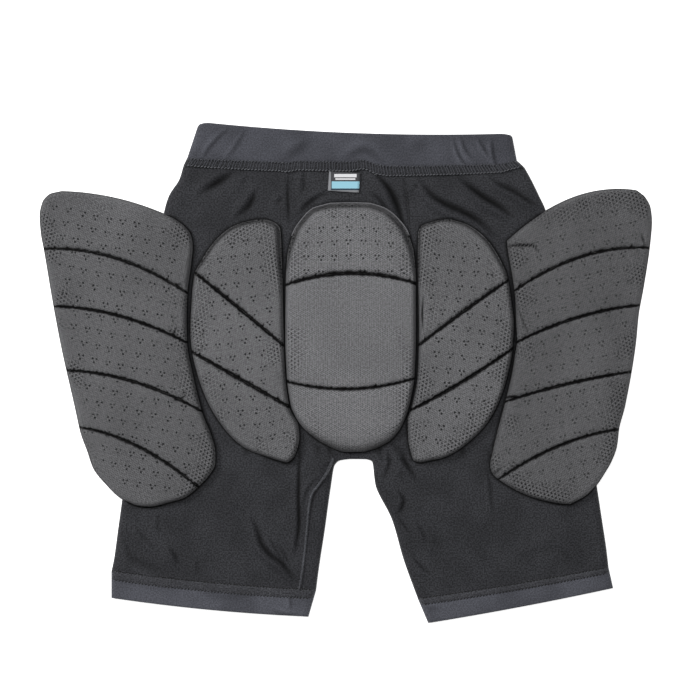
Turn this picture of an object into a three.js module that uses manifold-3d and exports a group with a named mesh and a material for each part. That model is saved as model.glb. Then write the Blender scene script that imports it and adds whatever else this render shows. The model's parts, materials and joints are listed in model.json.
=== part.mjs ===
// Padded hip-protection shorts, turned inside out and laid flat with the back up.
// Millimetres, +Z up. The front lies on the floor, and the foam pads lie on the back.
// The pattern frame has x to the right and y up the garment, with its zero at the
// centre of the waist seam. The finished group is moved so that its origin is the
// middle of its footprint, on the floor.
import * as THREE from "three";
import { mergeVertices } from "three/addons/utils/BufferGeometryUtils.js";
import Module from "manifold-3d";

const wasm = await Module();
wasm.setup();

// Garment sizes
const hipHalfWidth = 231.5; // half of the width at the crotch, laid flat
const legLength = 132; // crotch to hem seam
const bandHeight = 37;
const waistSeamHeight = 8;
const hemHeight = 25;
const sideFoldReach = 7; // how far in from its side edge the cloth is rounded

// Cloth sizes
const clothWall = 1.2;
const bandWall = 2.2;
const seamWall = 2.4;
const hemWall = 1.6;
const hollowHeight = 8; // free height between the front and the back
const foldHeight = 3.2; // the tallest fold stands this far off the cloth
const foldHalfWidth = 11;
const pieceGap = 0.3; // between pieces that are sewn together

// Pad sizes
const tailboneWidth = 132;
const tailboneLength = 248;
const tailboneThickness = 14;
const buttockWidth = 111;
const buttockLength = 244;
const buttockThickness = 12;
const hipPadWidth = 171;
const hipPadLength = 316;
const hipPadThickness = 11;
const rimThickness = 3; // a pad's edge, where cover and backing meet
const rimRound = 9; // how far in from its edge a pad is rounded
const channelRound = 5; // half of the width of a stitched channel
const channelDepthShare = 0.6;
const padGap = 1.2; // between neighbouring pads
const tailboneDrop = 35; // waist seam to a pad's top
const crotchMargin = 6; // from the tailbone pad to the crotch
const buttockDrop = 50;
const hipPadDrop = 20;
const drapeStart = 18; // a hip pad stays level this far past the garment's side
const drapeReach = 60; // and reaches the floor in this length after it

// Label sizes
const labelWidth = 31;
const labelLength = 20;
const labelThickness = 1;
const labelTilt = THREE.MathUtils.degToRad(-2);

// The tailbone pad ends just above the crotch.
const bodyLength = tailboneDrop + tailboneLength + crotchMargin; // waist seam to crotch
const clothTop = hollowHeight + 2 * clothWall;

// Rows of the body: the ends of a line across the cloth. x is a share of
// hipHalfWidth, y and bow are shares of bodyLength, and bow lifts the line's middle.
const bodyRows = [
  { leftX: -0.722, leftY: 0.01, rightX: 0.757, rightY: 0.003, bow: -0.021 },
  { leftX: -0.739, leftY: -0.035, rightX: 0.785, rightY: -0.038, bow: -0.015 },
  { leftX: -0.784, leftY: -0.093, rightX: 0.818, rightY: -0.093, bow: -0.007 },
  { leftX: -0.806, leftY: -0.152, rightX: 0.85, rightY: -0.152, bow: 0 },
  { leftX: -0.834, leftY: -0.315, rightX: 0.886, rightY: -0.315, bow: 0 },
  { leftX: -0.868, leftY: -0.52, rightX: 0.933, rightY: -0.52, bow: 0 },
  { leftX: -0.905, leftY: -0.73, rightX: 0.985, rightY: -0.73, bow: 0 },
  { leftX: -0.942, leftY: -0.965, rightX: 1.039, rightY: -0.965, bow: 0 },
];

// Rows of the legs: y is a share of legLength, from the crotch.
const leftLegRows = [
  { leftX: -0.94, leftY: 0.098, rightX: 0.009, rightY: 0.136, bow: 0 },
  { leftX: -0.966, leftY: -0.091, rightX: -0.054, rightY: -0.038, bow: 0 },
  { leftX: -0.986, leftY: -0.318, rightX: -0.086, rightY: -0.258, bow: 0 },
  { leftX: -1.004, leftY: -0.545, rightX: -0.11, rightY: -0.561, bow: 0 },
  { leftX: -1.022, leftY: -0.773, rightX: -0.134, rightY: -0.833, bow: -0.01 },
  { leftX: -1.033, leftY: -0.864, rightX: -0.147, rightY: -1.008, bow: -0.02 },
];
const rightLegRows = [
  { leftX: 0.026, leftY: 0.136, rightX: 1.037, rightY: 0.098, bow: 0 },
  { leftX: 0.108, leftY: -0.061, rightX: 1.056, rightY: -0.061, bow: 0 },
  { leftX: 0.114, leftY: -0.212, rightX: 1.071, rightY: -0.212, bow: 0 },
  { leftX: 0.182, leftY: -0.477, rightX: 1.091, rightY: -0.47, bow: 0 },
  { leftX: 0.231, leftY: -0.773, rightX: 1.11, rightY: -0.697, bow: -0.005 },
  { leftX: 0.294, leftY: -1.076, rightX: 1.119, rightY: -0.837, bow: -0.01 },
];

// The crotch is a short fold between the legs, in the same shares as the body.
const crotchRows = [
  { leftX: -0.09, leftY: -0.93, rightX: 0.13, rightY: -0.93, bow: 0 },
  { leftX: -0.09, leftY: -0.98, rightX: 0.13, rightY: -0.972, bow: 0 },
  { leftX: -0.09, leftY: -1, rightX: 0.13, rightY: -0.984, bow: -0.001 },
  { leftX: -0.09, leftY: -1.012, rightX: 0.13, rightY: -0.99, bow: -0.003 },
];
const crotchSqueeze = [1, 1, 0.8, 0.3];

// How the far edge of a band stands off the row that it is sewn to, as shares of
// the band's height.
const waistSeamEdge = { leftX: 0.45, leftY: 0.94, rightX: -1, rightY: 0.94, bow: 0.3 };
const waistbandEdge = { leftX: 0.33, leftY: 0.99, rightX: -0.14, rightY: 0.73, bow: -0.05 };
const leftHemEdge = { leftX: 0, leftY: -1.05, rightX: -0.3, rightY: -1.04, bow: 0 };
const rightHemEdge = { leftX: 0.4, leftY: -0.94, rightX: 0.18, rightY: -0.8, bow: 0 };

// The seams between the cloth panels on the back. x is a share of hipHalfWidth, y of
// bodyLength down to the crotch and of legLength below it.
const leftBackSeam = [
  { x: -0.262, body: 0.1 },
  { x: -0.264, body: -0.2 },
  { x: -0.214, body: -1 },
  { x: -0.21, leg: -0.2 },
  { x: -0.19, leg: -0.47 },
];
const rightBackSeam = [
  { x: 0.229, body: 0.1 },
  { x: 0.25, body: -0.2 },
  { x: 0.238, body: -1 },
  { x: 0.232, leg: -0.2 },
  { x: 0.245, leg: -0.47 },
];
const leftInseam = [{ x: -0.222, leg: -1.2 }];
const rightInseam = [{ x: 0.36, leg: -1.2 }];
const leftGussetEnd = { x: -0.063, leg: 0.03 };
const rightGussetEnd = { x: 0.105, leg: 0.03 };

// Folds that stand off the back, each along a bent line through three points.
// x is a share of hipHalfWidth and y of bodyLength, both as in bodyRows.
const folds = [
  { x0: -0.52, y0: -0.06, x1: -0.58, y1: -0.09, x2: -0.66, y2: -0.11, wide: 1, tall: 0.8 },
  { x0: -0.42, y0: -0.07, x1: -0.43, y1: -0.1, x2: -0.5, y2: -0.145, wide: 0.9, tall: 0.6 },
  { x0: -0.31, y0: -0.07, x1: -0.33, y1: -0.09, x2: -0.36, y2: -0.11, wide: 0.7, tall: 0.4 },
  { x0: 0.31, y0: -0.03, x1: 0.4, y1: -0.09, x2: 0.52, y2: -0.13, wide: 0.9, tall: 0.7 },
  { x0: 0.5, y0: -0.03, x1: 0.58, y1: -0.09, x2: 0.69, y2: -0.145, wide: 1, tall: 1 },
  { x0: 0.63, y0: -0.03, x1: 0.7, y1: -0.06, x2: 0.79, y2: -0.11, wide: 0.9, tall: 0.8 },
  { x0: -0.95, y0: -1.26, x1: -0.84, y1: -1.3, x2: -0.74, y2: -1.37, wide: 1.2, tall: 0.8 },
  { x0: -0.94, y0: -1.33, x1: -0.86, y1: -1.38, x2: -0.8, y2: -1.4, wide: 0.9, tall: 0.6 },
  { x0: -0.82, y0: -1.17, x1: -0.81, y1: -1.2, x2: -0.8, y2: -1.23, wide: 1, tall: 0.4 },
  { x0: -0.4, y0: -1.2, x1: -0.36, y1: -1.3, x2: -0.27, y2: -1.37, wide: 1, tall: 1 },
  { x0: -0.33, y0: -1.22, x1: -0.3, y1: -1.27, x2: -0.26, y2: -1.31, wide: 0.7, tall: 0.7 },
  { x0: 0.33, y0: -1.07, x1: 0.38, y1: -1.11, x2: 0.42, y2: -1.13, wide: 0.9, tall: 0.8 },
  { x0: 0.24, y0: -1.19, x1: 0.28, y1: -1.24, x2: 0.33, y2: -1.33, wide: 0.9, tall: 0.8 },
  { x0: 0.31, y0: -1.34, x1: 0.36, y1: -1.38, x2: 0.4, y2: -1.41, wide: 0.8, tall: 0.6 },
];

// Gathers of the waistband: foot is a share of its width from the left, lean is how
// far the gather's head stands to the right of its foot, as a share of bandHeight,
// and wide and tall are shares of foldHalfWidth and foldHeight.
const gathers = [
  { foot: 0.05, lean: 0.5, wide: 0.5, tall: 0.35 },
  { foot: 0.13, lean: 0.5, wide: 0.5, tall: 0.3 },
  { foot: 0.34, lean: -0.2, wide: 1.2, tall: 0.15 },
  { foot: 0.58, lean: -0.2, wide: 1.2, tall: 0.2 },
  { foot: 0.835, lean: -0.45, wide: 0.55, tall: 0.5 },
  { foot: 0.875, lean: -0.35, wide: 0.5, tall: 0.55 },
  { foot: 0.91, lean: -0.25, wide: 0.45, tall: 0.6 },
  { foot: 0.945, lean: -0.1, wide: 0.45, tall: 0.5 },
];

// Pads. Each edge row gives a place down the pad's length and its x, both shares:
// of the pad's length, and of its width from its middle. A channel row gives where
// a stitched channel starts and ends down the two edges, and how far its middle is
// lifted, as shares of the length. The first and last rows are the pad's two ends.
const tailboneShape = {
  left: [
    { down: 0, x: -0.155 },
    { down: 0.02, x: -0.285 },
    { down: 0.057, x: -0.36 },
    { down: 0.113, x: -0.432 },
    { down: 0.2, x: -0.481 },
    { down: 0.32, x: -0.496 },
    { down: 0.53, x: -0.5 },
    { down: 0.69, x: -0.489 },
    { down: 0.81, x: -0.458 },
    { down: 0.89, x: -0.383 },
    { down: 0.95, x: -0.258 },
    { down: 0.985, x: -0.14 },
    { down: 1, x: -0.065 },
  ],
  right: [
    { down: 0, x: 0.15 },
    { down: 0.02, x: 0.262 },
    { down: 0.057, x: 0.352 },
    { down: 0.113, x: 0.432 },
    { down: 0.2, x: 0.485 },
    { down: 0.32, x: 0.5 },
    { down: 0.53, x: 0.5 },
    { down: 0.69, x: 0.49 },
    { down: 0.81, x: 0.45 },
    { down: 0.89, x: 0.397 },
    { down: 0.95, x: 0.315 },
    { down: 0.985, x: 0.2 },
    { down: 1, x: 0.11 },
  ],
  channels: [
    { left: 0, right: 0, bow: 0.002 },
    { left: 0.329, right: 0.323, bow: 0.045 },
    { left: 0.715, right: 0.702, bow: -0.037 },
    { left: 1, right: 1, bow: -0.002 },
  ],
};
const leftButtockShape = {
  left: [
    { down: 0, x: 0.1 },
    { down: 0.01, x: -0.01 },
    { down: 0.041, x: -0.162 },
    { down: 0.107, x: -0.311 },
    { down: 0.176, x: -0.409 },
    { down: 0.23, x: -0.468 },
    { down: 0.336, x: -0.491 },
    { down: 0.463, x: -0.503 },
    { down: 0.541, x: -0.488 },
    { down: 0.623, x: -0.448 },
    { down: 0.746, x: -0.351 },
    { down: 0.861, x: -0.194 },
    { down: 0.943, x: 0 },
    { down: 0.977, x: 0.196 },
    { down: 1, x: 0.36 },
  ],
  right: [
    { down: 0, x: 0.2 },
    { down: 0.01, x: 0.262 },
    { down: 0.036, x: 0.323 },
    { down: 0.107, x: 0.336 },
    { down: 0.53, x: 0.36 },
    { down: 0.64, x: 0.372 },
    { down: 0.775, x: 0.412 },
    { down: 0.844, x: 0.489 },
    { down: 0.889, x: 0.5 },
    { down: 0.959, x: 0.47 },
    { down: 0.99, x: 0.425 },
    { down: 1, x: 0.39 },
  ],
  channels: [
    { left: 0, right: 0, bow: 0 },
    { left: 0.218, right: 0.522, bow: 0.003 },
    { left: 0.543, right: 0.772, bow: 0 },
    { left: 1, right: 1, bow: 0 },
  ],
};
const rightButtockShape = {
  left: [
    { down: 0, x: -0.176 },
    { down: 0.008, x: -0.248 },
    { down: 0.025, x: -0.356 },
    { down: 0.057, x: -0.388 },
    { down: 0.164, x: -0.392 },
    { down: 0.45, x: -0.383 },
    { down: 0.643, x: -0.396 },
    { down: 0.78, x: -0.455 },
    { down: 0.82, x: -0.486 },
    { down: 0.91, x: -0.476 },
    { down: 0.967, x: -0.45 },
    { down: 0.992, x: -0.428 },
    { down: 1, x: -0.383 },
  ],
  right: [
    { down: 0, x: -0.077 },
    { down: 0.022, x: 0.071 },
    { down: 0.084, x: 0.247 },
    { down: 0.164, x: 0.364 },
    { down: 0.235, x: 0.432 },
    { down: 0.342, x: 0.471 },
    { down: 0.43, x: 0.491 },
    { down: 0.529, x: 0.481 },
    { down: 0.627, x: 0.442 },
    { down: 0.742, x: 0.364 },
    { down: 0.84, x: 0.247 },
    { down: 0.92, x: 0.071 },
    { down: 0.977, x: -0.124 },
    { down: 1, x: -0.347 },
  ],
  channels: [
    { left: 0, right: 0, bow: 0 },
    { left: 0.52, right: 0.25, bow: 0.005 },
    { left: 0.785, right: 0.529, bow: -0.012 },
    { left: 1, right: 1, bow: 0 },
  ],
};
const leftHipShape = {
  left: [
    { down: 0.005, x: -0.391 },
    { down: 0.014, x: -0.46 },
    { down: 0.042, x: -0.505 },
    { down: 0.083, x: -0.52 },
    { down: 0.137, x: -0.513 },
    { down: 0.19, x: -0.495 },
    { down: 0.37, x: -0.438 },
    { down: 0.51, x: -0.388 },
    { down: 0.69, x: -0.311 },
    { down: 0.769, x: -0.277 },
    { down: 0.823, x: -0.239 },
    { down: 0.88, x: -0.2 },
    { down: 0.93, x: -0.125 },
    { down: 0.975, x: -0.036 },
    { down: 0.995, x: 0.04 },
  ],
  right: [
    { down: 0.089, x: 0.269 },
    { down: 0.12, x: 0.345 },
    { down: 0.145, x: 0.377 },
    { down: 0.18, x: 0.387 },
    { down: 0.24, x: 0.377 },
    { down: 0.322, x: 0.357 },
    { down: 0.406, x: 0.351 },
    { down: 0.488, x: 0.355 },
    { down: 0.556, x: 0.377 },
    { down: 0.707, x: 0.446 },
    { down: 0.776, x: 0.497 },
    { down: 0.831, x: 0.52 },
    { down: 0.864, x: 0.519 },
    { down: 0.9, x: 0.484 },
    { down: 0.94, x: 0.415 },
    { down: 0.974, x: 0.332 },
    { down: 0.992, x: 0.218 },
  ],
  channels: [
    { left: 0.005, right: 0.092, bow: 0.02 },
    { left: 0.188, right: 0.329, bow: 0.041 },
    { left: 0.369, right: 0.485, bow: 0.027 },
    { left: 0.571, right: 0.701, bow: 0.03 },
    { left: 0.749, right: 0.938, bow: 0.034 },
    { left: 0.995, right: 0.992, bow: -0.008 },
  ],
};
const rightHipShape = {
  left: [
    { down: 0.167, x: -0.383 },
    { down: 0.2, x: -0.376 },
    { down: 0.276, x: -0.351 },
    { down: 0.359, x: -0.332 },
    { down: 0.421, x: -0.329 },
    { down: 0.482, x: -0.323 },
    { down: 0.517, x: -0.332 },
    { down: 0.58, x: -0.351 },
    { down: 0.683, x: -0.396 },
    { down: 0.771, x: -0.44 },
    { down: 0.829, x: -0.465 },
    { down: 0.876, x: -0.481 },
    { down: 0.903, x: -0.465 },
    { down: 0.931, x: -0.402 },
    { down: 0.962, x: -0.3 },
    { down: 0.983, x: -0.2 },
    { down: 0.997, x: -0.085 },
  ],
  right: [
    { down: 0.006, x: 0.39 },
    { down: 0.029, x: 0.441 },
    { down: 0.063, x: 0.472 },
    { down: 0.105, x: 0.48 },
    { down: 0.174, x: 0.47 },
    { down: 0.317, x: 0.43 },
    { down: 0.4, x: 0.402 },
    { down: 0.49, x: 0.385 },
    { down: 0.69, x: 0.318 },
    { down: 0.759, x: 0.283 },
    { down: 0.814, x: 0.27 },
    { down: 0.862, x: 0.238 },
    { down: 0.903, x: 0.194 },
    { down: 0.934, x: 0.156 },
    { down: 0.971, x: 0.092 },
    { down: 1, x: -0.003 },
  ],
  channels: [
    { left: 0.167, right: 0.006, bow: 0.056 },
    { left: 0.326, right: 0.189, bow: 0.041 },
    { left: 0.488, right: 0.37, bow: 0.021 },
    { left: 0.675, right: 0.58, bow: 0.01 },
    { left: 0.92, right: 0.761, bow: 0.027 },
    { left: 0.997, right: 1, bow: 0 },
  ],
};

// Where the sections and points of a surface lie, as shares
const padColumns = [0, 0.025, 0.08, 0.25, 0.5, 0.75, 0.92, 0.975, 1];
const middleRows = [0, 0.05, 0.14, 0.5, 0.86, 0.95];
const firstRows = [0, 0.03, 0.08, 0.18, 0.42, 0.68, 0.88, 0.955];
const lastRows = [0, 0.05, 0.13, 0.36, 0.62, 0.82, 0.92, 0.97];
const flatUnderside = [0, 1];
const drapedUnderside = [0, 0.25, 0.5, 0.75, 1];
const sideAngles = [0, 35, 65, 90].map(THREE.MathUtils.degToRad);
const clothPitch = 13.5;
const bandPitch = 28;
const pastEnd = 6; // how far a cut runs past the cloth's end

const { lerp, clamp } = THREE.MathUtils;

// The value of a table's column at a place, on a smooth curve through its rows.
function smoothAt(rows, at, placeKey, valueKey) {
  const last = rows.length - 1;
  const place = clamp(at, rows[0][placeKey], rows[last][placeKey]);
  let i = rows.findIndex((row) => place <= row[placeKey]) - 1;
  i = clamp(i, 0, last - 1);
  const rise = (k) => {
    const a = rows[k];
    const b = rows[k + 1];
    return (b[valueKey] - a[valueKey]) / (b[placeKey] - a[placeKey]);
  };
  const slopeAt = (k) => {
    if (k === 0) return rise(0);
    if (k === last) return rise(last - 1);
    const before = rise(k - 1);
    const after = rise(k);
    return before * after <= 0 ? 0 : (2 * before * after) / (before + after);
  };
  const step = rows[i + 1][placeKey] - rows[i][placeKey];
  const t = (place - rows[i][placeKey]) / step;
  const ease = t * t * (3 - 2 * t);
  const start = t * (1 - t) ** 2 * slopeAt(i) * step;
  const end = t * t * (1 - t) * slopeAt(i + 1) * step;
  return lerp(rows[i][valueKey], rows[i + 1][valueKey], ease) + start - end;
}

// A quarter circle: 0 at the edge and 1 from its reach inwards.
const quarter = (share) => Math.sqrt(1 - (1 - clamp(share, 0, 1)) ** 2);

const smoothStep = (share) => clamp(share, 0, 1) ** 2 * (3 - 2 * clamp(share, 0, 1));

// Solids and meshes
function solidFromTriangles(points, triangles) {
  const geometry = new THREE.BufferGeometry();
  geometry.setAttribute("position", new THREE.Float32BufferAttribute(points, 3));
  geometry.setIndex(triangles);
  return solidFromGeometry(geometry);
}

function solidFromGeometry(source) {
  const geometry = source.clone();
  geometry.deleteAttribute("normal");
  geometry.deleteAttribute("uv");
  const merged = mergeVertices(geometry, 1e-3);
  const corners = merged.index.array;
  const kept = [];
  for (let i = 0; i < corners.length; i += 3) {
    const [a, b, c] = corners.slice(i, i + 3);
    if (a !== b && b !== c && c !== a) kept.push(a, b, c);
  }
  const vertProperties = new Float32Array(merged.attributes.position.array);
  const triVerts = new Uint32Array(kept);
  return new wasm.Manifold(new wasm.Mesh({ numProp: 3, vertProperties, triVerts }));
}

// The triangles between two rows of points, which may have different numbers of them.
// Each point is { index, share }, where share is its place along its row.
function strip(before, after) {
  const triangles = [];
  let i = 0;
  let k = 0;
  while (i + 1 < before.length || k + 1 < after.length) {
    const nextBefore = before[i + 1]?.share ?? Infinity;
    const nextAfter = after[k + 1]?.share ?? Infinity;
    if (nextBefore <= nextAfter) {
      triangles.push([before[i].index, after[k].index, before[i + 1].index]);
      i += 1;
    } else {
      triangles.push([before[i].index, after[k].index, after[k + 1].index]);
      k += 1;
    }
  }
  return triangles;
}

// One closed solid between an upper and a lower grid of points with the same rim. The
// lower grid keeps only the columns listed in kept, besides its first and last row.
function solidBetween(upper, lower, kept = upper[0].map((_, c) => c)) {
  const columns = upper[0].length;
  const lastRow = upper.length - 1;
  const points = [...upper.flat(), ...lower.flat()].flatMap((p) => [p.x, p.y, p.z]);
  const row = (grid, r) =>
    grid[r].map((_, c) => ({
      index: (grid === lower ? upper.length + r : r) * columns + c,
      share: c,
    }));
  const sparse = (r) =>
    r === 0 || r === lastRow ? row(lower, r) : kept.map((c) => row(lower, r)[c]);
  const triangles = [];
  const turned = (list) => list.map(([a, b, c]) => [a, c, b]);
  for (let r = 0; r < lastRow; r++) {
    triangles.push(...strip(row(upper, r), row(upper, r + 1)));
    triangles.push(...turned(strip(sparse(r), sparse(r + 1))));
  }
  const side = (grid, c) => upper.map((_, r) => ({ ...row(grid, r)[c], share: r }));
  triangles.push(...strip(side(lower, 0), side(upper, 0)).map(([a, b, c]) => [a, c, b]));
  triangles.push(...strip(side(lower, columns - 1), side(upper, columns - 1)));
  triangles.push(...strip(row(lower, 0), row(upper, 0)));
  triangles.push(...turned(strip(row(lower, lastRow), row(upper, lastRow))));
  return solidFromTriangles(points, triangles.flat());
}

function prism(outline, low, high) {
  const shape = new THREE.Shape(outline.map((p) => new THREE.Vector2(p.x, p.y)));
  const depth = high - low;
  const geometry = new THREE.ExtrudeGeometry(shape, { depth, bevelEnabled: false });
  return solidFromGeometry(geometry.translate(0, 0, low));
}

function meshOf(name, solid, material) {
  const { vertProperties, triVerts } = solid.getMesh();
  const geometry = new THREE.BufferGeometry();
  geometry.setAttribute("position", new THREE.BufferAttribute(vertProperties, 3));
  geometry.setIndex(new THREE.BufferAttribute(triVerts, 1));
  geometry.computeVertexNormals();
  const mesh = new THREE.Mesh(geometry, material);
  mesh.name = name;
  return mesh;
}

// Rows of the pattern in millimetres
const bodyLine = (row) => ({
  left: new THREE.Vector2(row.leftX * hipHalfWidth, row.leftY * bodyLength),
  right: new THREE.Vector2(row.rightX * hipHalfWidth, row.rightY * bodyLength),
  bow: row.bow * bodyLength,
});

const legLine = (row) => ({
  left: new THREE.Vector2(row.leftX * hipHalfWidth, row.leftY * legLength - bodyLength),
  right: new THREE.Vector2(row.rightX * hipHalfWidth, row.rightY * legLength - bodyLength),
  bow: row.bow * legLength,
});

// The line at a share of the way from a line to a band's far edge.
function bandLine(line, edge, height, share = 1) {
  const step = height * share;
  return {
    left: new THREE.Vector2(line.left.x + edge.leftX * step, line.left.y + edge.leftY * step),
    right: new THREE.Vector2(line.right.x + edge.rightX * step, line.right.y + edge.rightY * step),
    bow: line.bow + edge.bow * step,
    up: step,
  };
}

function pointOn(line, share) {
  const p = line.left.clone().lerp(line.right, share);
  p.y += line.bow * 4 * share * (1 - share);
  return p;
}

const lineWidth = (line) => line.left.distanceTo(line.right);

// A line moved along the garment, which a gap or a cut needs.
const movedLine = (line, shift) => ({
  ...line,
  left: new THREE.Vector2(line.left.x, line.left.y + shift),
  right: new THREE.Vector2(line.right.x, line.right.y + shift),
});

// More lines between those of a table, about clothPitch apart where it is asked for.
function refined(lines, isFine) {
  const rows = lines.map((line, at) => ({
    at,
    leftX: line.left.x,
    leftY: line.left.y,
    rightX: line.right.x,
    rightY: line.right.y,
    bow: line.bow,
  }));
  const made = [];
  for (let i = 0; i + 1 < lines.length; i++) {
    const middle = pointOn(lines[i], 0.5).distanceTo(pointOn(lines[i + 1], 0.5));
    const steps = isFine(i) ? Math.max(1, Math.round(middle / clothPitch)) : 1;
    for (let k = 0; k < steps; k++) {
      const value = (key) => smoothAt(rows, i + k / steps, "at", key);
      made.push({
        left: new THREE.Vector2(value("leftX"), value("leftY")),
        right: new THREE.Vector2(value("rightX"), value("rightY")),
        bow: value("bow"),
      });
    }
  }
  return [...made, lines.at(-1)];
}

// The columns of a flattened tube: some round each side fold, the others between them.
function evenColumns(lines, pitch) {
  const width = Math.max(...lines.map(lineWidth)) - 2 * sideFoldReach;
  const count = Math.max(2, Math.round(width / pitch));
  return Array.from({ length: count - 1 }, (_, i) => ({ share: (i + 1) / count }));
}

function withSideFolds(columns) {
  const fold = (end) => sideAngles.map((angle) => ({ end, angle }));
  return [...fold("left"), ...columns, ...fold("right").reverse()];
}

// A flattened tube of cloth with round side folds. Inset is how far inside the outer
// face it lies, squeeze lowers its height at a row, and lift raises its upper face.
function tube(lines, { high, inset, columns, squeeze = [], lift = () => 0 }) {
  const reach = sideFoldReach - inset;
  const half = high / 2 - inset;
  const upper = [];
  const lower = [];
  lines.forEach((line, row) => {
    const width = lineWidth(line);
    const tall = half * (squeeze[row] ?? 1);
    const points = withSideFolds(columns).map((column) => {
      const { end, angle } = column;
      const fold = inset + (1 - Math.cos(angle)) * reach;
      const even = lerp(sideFoldReach, width - sideFoldReach, column.share);
      const lean = (column.lean ?? 0) * (line.up ?? 0);
      const across = end === "left" ? fold : end === "right" ? width - fold : even + lean;
      const p = pointOn(line, across / width);
      const rise = end ? tall * Math.sin(angle) : tall;
      return { p, rise, raised: end ? 0 : lift(p, column, line) };
    });
    const at = (p, z) => new THREE.Vector3(p.x, p.y, z);
    const level = high / 2 - half + tall;
    upper.push(points.map(({ p, rise, raised }) => at(p, level + rise + raised)));
    lower.push(points.map(({ p, rise }) => at(p, level - rise)));
  });
  const downwards = upper[0][0].y > upper.at(-1)[0].y;
  return downwards
    ? solidBetween(upper, lower)
    : solidBetween(upper.reverse(), lower.reverse());
}

// A line run past a row of lines, so that what it cuts is cut right through.
function runPast(lines, distance = pastEnd) {
  const up = Math.sign(lines[0].left.y - lines.at(-1).left.y);
  return {
    before: movedLine(lines[0], up * distance),
    after: movedLine(lines.at(-1), -up * distance),
  };
}

// A ring of cloth between two lines: one flattened tube less the space inside it.
function ring(lines, { wall, ...options }) {
  const outer = tube(lines, { ...options, inset: 0 });
  const { before, after } = runPast(lines);
  return outer.subtract(tube([before, ...lines, after], { ...options, inset: wall }));
}

// The height of the folds at a point of the back
const foldLines = folds.map((fold) => {
  const at = (x, y) => new THREE.Vector2(x * hipHalfWidth, y * bodyLength);
  const curve = new THREE.QuadraticBezierCurve(
    at(fold.x0, fold.y0),
    at(fold.x1, fold.y1),
    at(fold.x2, fold.y2),
  );
  return {
    points: curve.getPoints(8),
    reach: fold.wide * foldHalfWidth,
    height: fold.tall * foldHeight,
  };
});

function foldLift(p) {
  let lift = 0;
  for (const { points, reach, height } of foldLines) {
    const last = points.length - 1;
    for (let i = 1; i < last; i++) {
      const near = Math.cos((Math.min(points[i].distanceTo(p) / reach, 1) * Math.PI) / 2);
      const taper = Math.sin((Math.PI * i) / last);
      lift = Math.max(lift, height * taper * near ** 2);
    }
  }
  return lift;
}

// Cloth
const bodyLines = refined(bodyRows.map(bodyLine), (i) => i < 3);
const leftLegLines = refined(leftLegRows.map(legLine), () => true);
const rightLegLines = refined(rightLegRows.map(legLine), () => true);
const waistLine = bodyLines[0];

// The body, the crotch and both legs as one solid. The space inside them is the same
// one with an inset, and runs past the waist and the hems.
function garmentSolid(inset) {
  const options = { high: clothTop, inset, lift: foldLift };
  const part = (lines, more) =>
    tube(lines, { ...options, columns: evenColumns(lines, clothPitch), ...more });
  const openEnd = inset > 0 ? (lines) => [runPast(lines).after] : () => [];
  const openTop = inset > 0 ? [runPast(bodyLines).before] : [];
  const crotch = crotchRows.map(bodyLine).map((line, row) =>
    movedLine(line, row > 1 ? inset : 0),
  );
  const leg = (lines) =>
    part([...lines, ...openEnd(lines)], { columns: evenColumns(lines, clothPitch) });
  return part([...openTop, ...bodyLines], { columns: evenColumns(bodyLines, clothPitch) })
    .add(part(crotch, { squeeze: crotchSqueeze }))
    .add(leg(leftLegLines))
    .add(leg(rightLegLines));
}

const seamPoint = (p) =>
  new THREE.Vector2(
    p.x * hipHalfWidth,
    p.body === undefined ? p.leg * legLength - bodyLength : p.body * bodyLength,
  );

// The outline of the flat front, a margin inside the side folds. Its waist and hem
// ends can run past the cloth.
function frontOutline(margin, past) {
  const side = (line, end) => {
    const share = margin / lineWidth(line);
    return pointOn(line, end === "left" ? share : 1 - share);
  };
  const inner = margin / hipHalfWidth;
  const across = (line) =>
    [0.2, 0.4, 0.6, 0.8].map((share) => pointOn(line, lerp(inner, 1 - inner, share)));
  const leg = (lines) => {
    const below = lines.filter((line) => line.left.y < -bodyLength - 1);
    const ended = past > 0 ? [...below, movedLine(lines.at(-1), -past)] : below;
    return {
      outer: (end) => ended.map((line) => side(line, end)),
      hem: across(ended.at(-1)),
    };
  };
  const left = leg(leftLegLines);
  const right = leg(rightLegLines);
  const trunk = past > 0 ? [movedLine(waistLine, past), ...bodyLines] : bodyLines;
  const crotchY = -bodyLength + margin;
  const innerLeft = left.outer("right");
  const innerRight = right.outer("left");
  return [
    ...trunk.map((line) => side(line, "left")),
    ...left.outer("left"),
    ...left.hem,
    ...innerLeft.reverse(),
    new THREE.Vector2(innerLeft.at(-1).x, crotchY),
    new THREE.Vector2(innerRight[0].x, crotchY),
    ...innerRight,
    ...right.hem,
    ...right.outer("right").reverse(),
    ...trunk.map((line) => side(line, "right")).reverse(),
    ...across(trunk[0]).reverse(),
  ];
}

// The region of the back on one side of a chain of seam points.
function sideRegion(seam, side, shift) {
  const far = side * hipHalfWidth * 2;
  const points = seam.map(seamPoint).map((p) => new THREE.Vector2(p.x + shift, p.y));
  return [
    new THREE.Vector2(far, points[0].y),
    ...points,
    new THREE.Vector2(far, points.at(-1).y),
  ];
}

// The strip of a leg between its raised inseam and its inner edge.
function innerLegRegion(seam, inseam, top, side, grow) {
  const meet = seamPoint(seam.at(-1));
  const foot = seamPoint(inseam[0]);
  const start = seamPoint(top);
  return [
    new THREE.Vector2(meet.x - side * pastEnd, meet.y + grow),
    new THREE.Vector2(start.x, start.y + grow),
    new THREE.Vector2(-side * pastEnd, start.y + grow),
    new THREE.Vector2(-side * pastEnd, foot.y),
    new THREE.Vector2(foot.x - side * pastEnd, foot.y),
  ];
}

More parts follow.
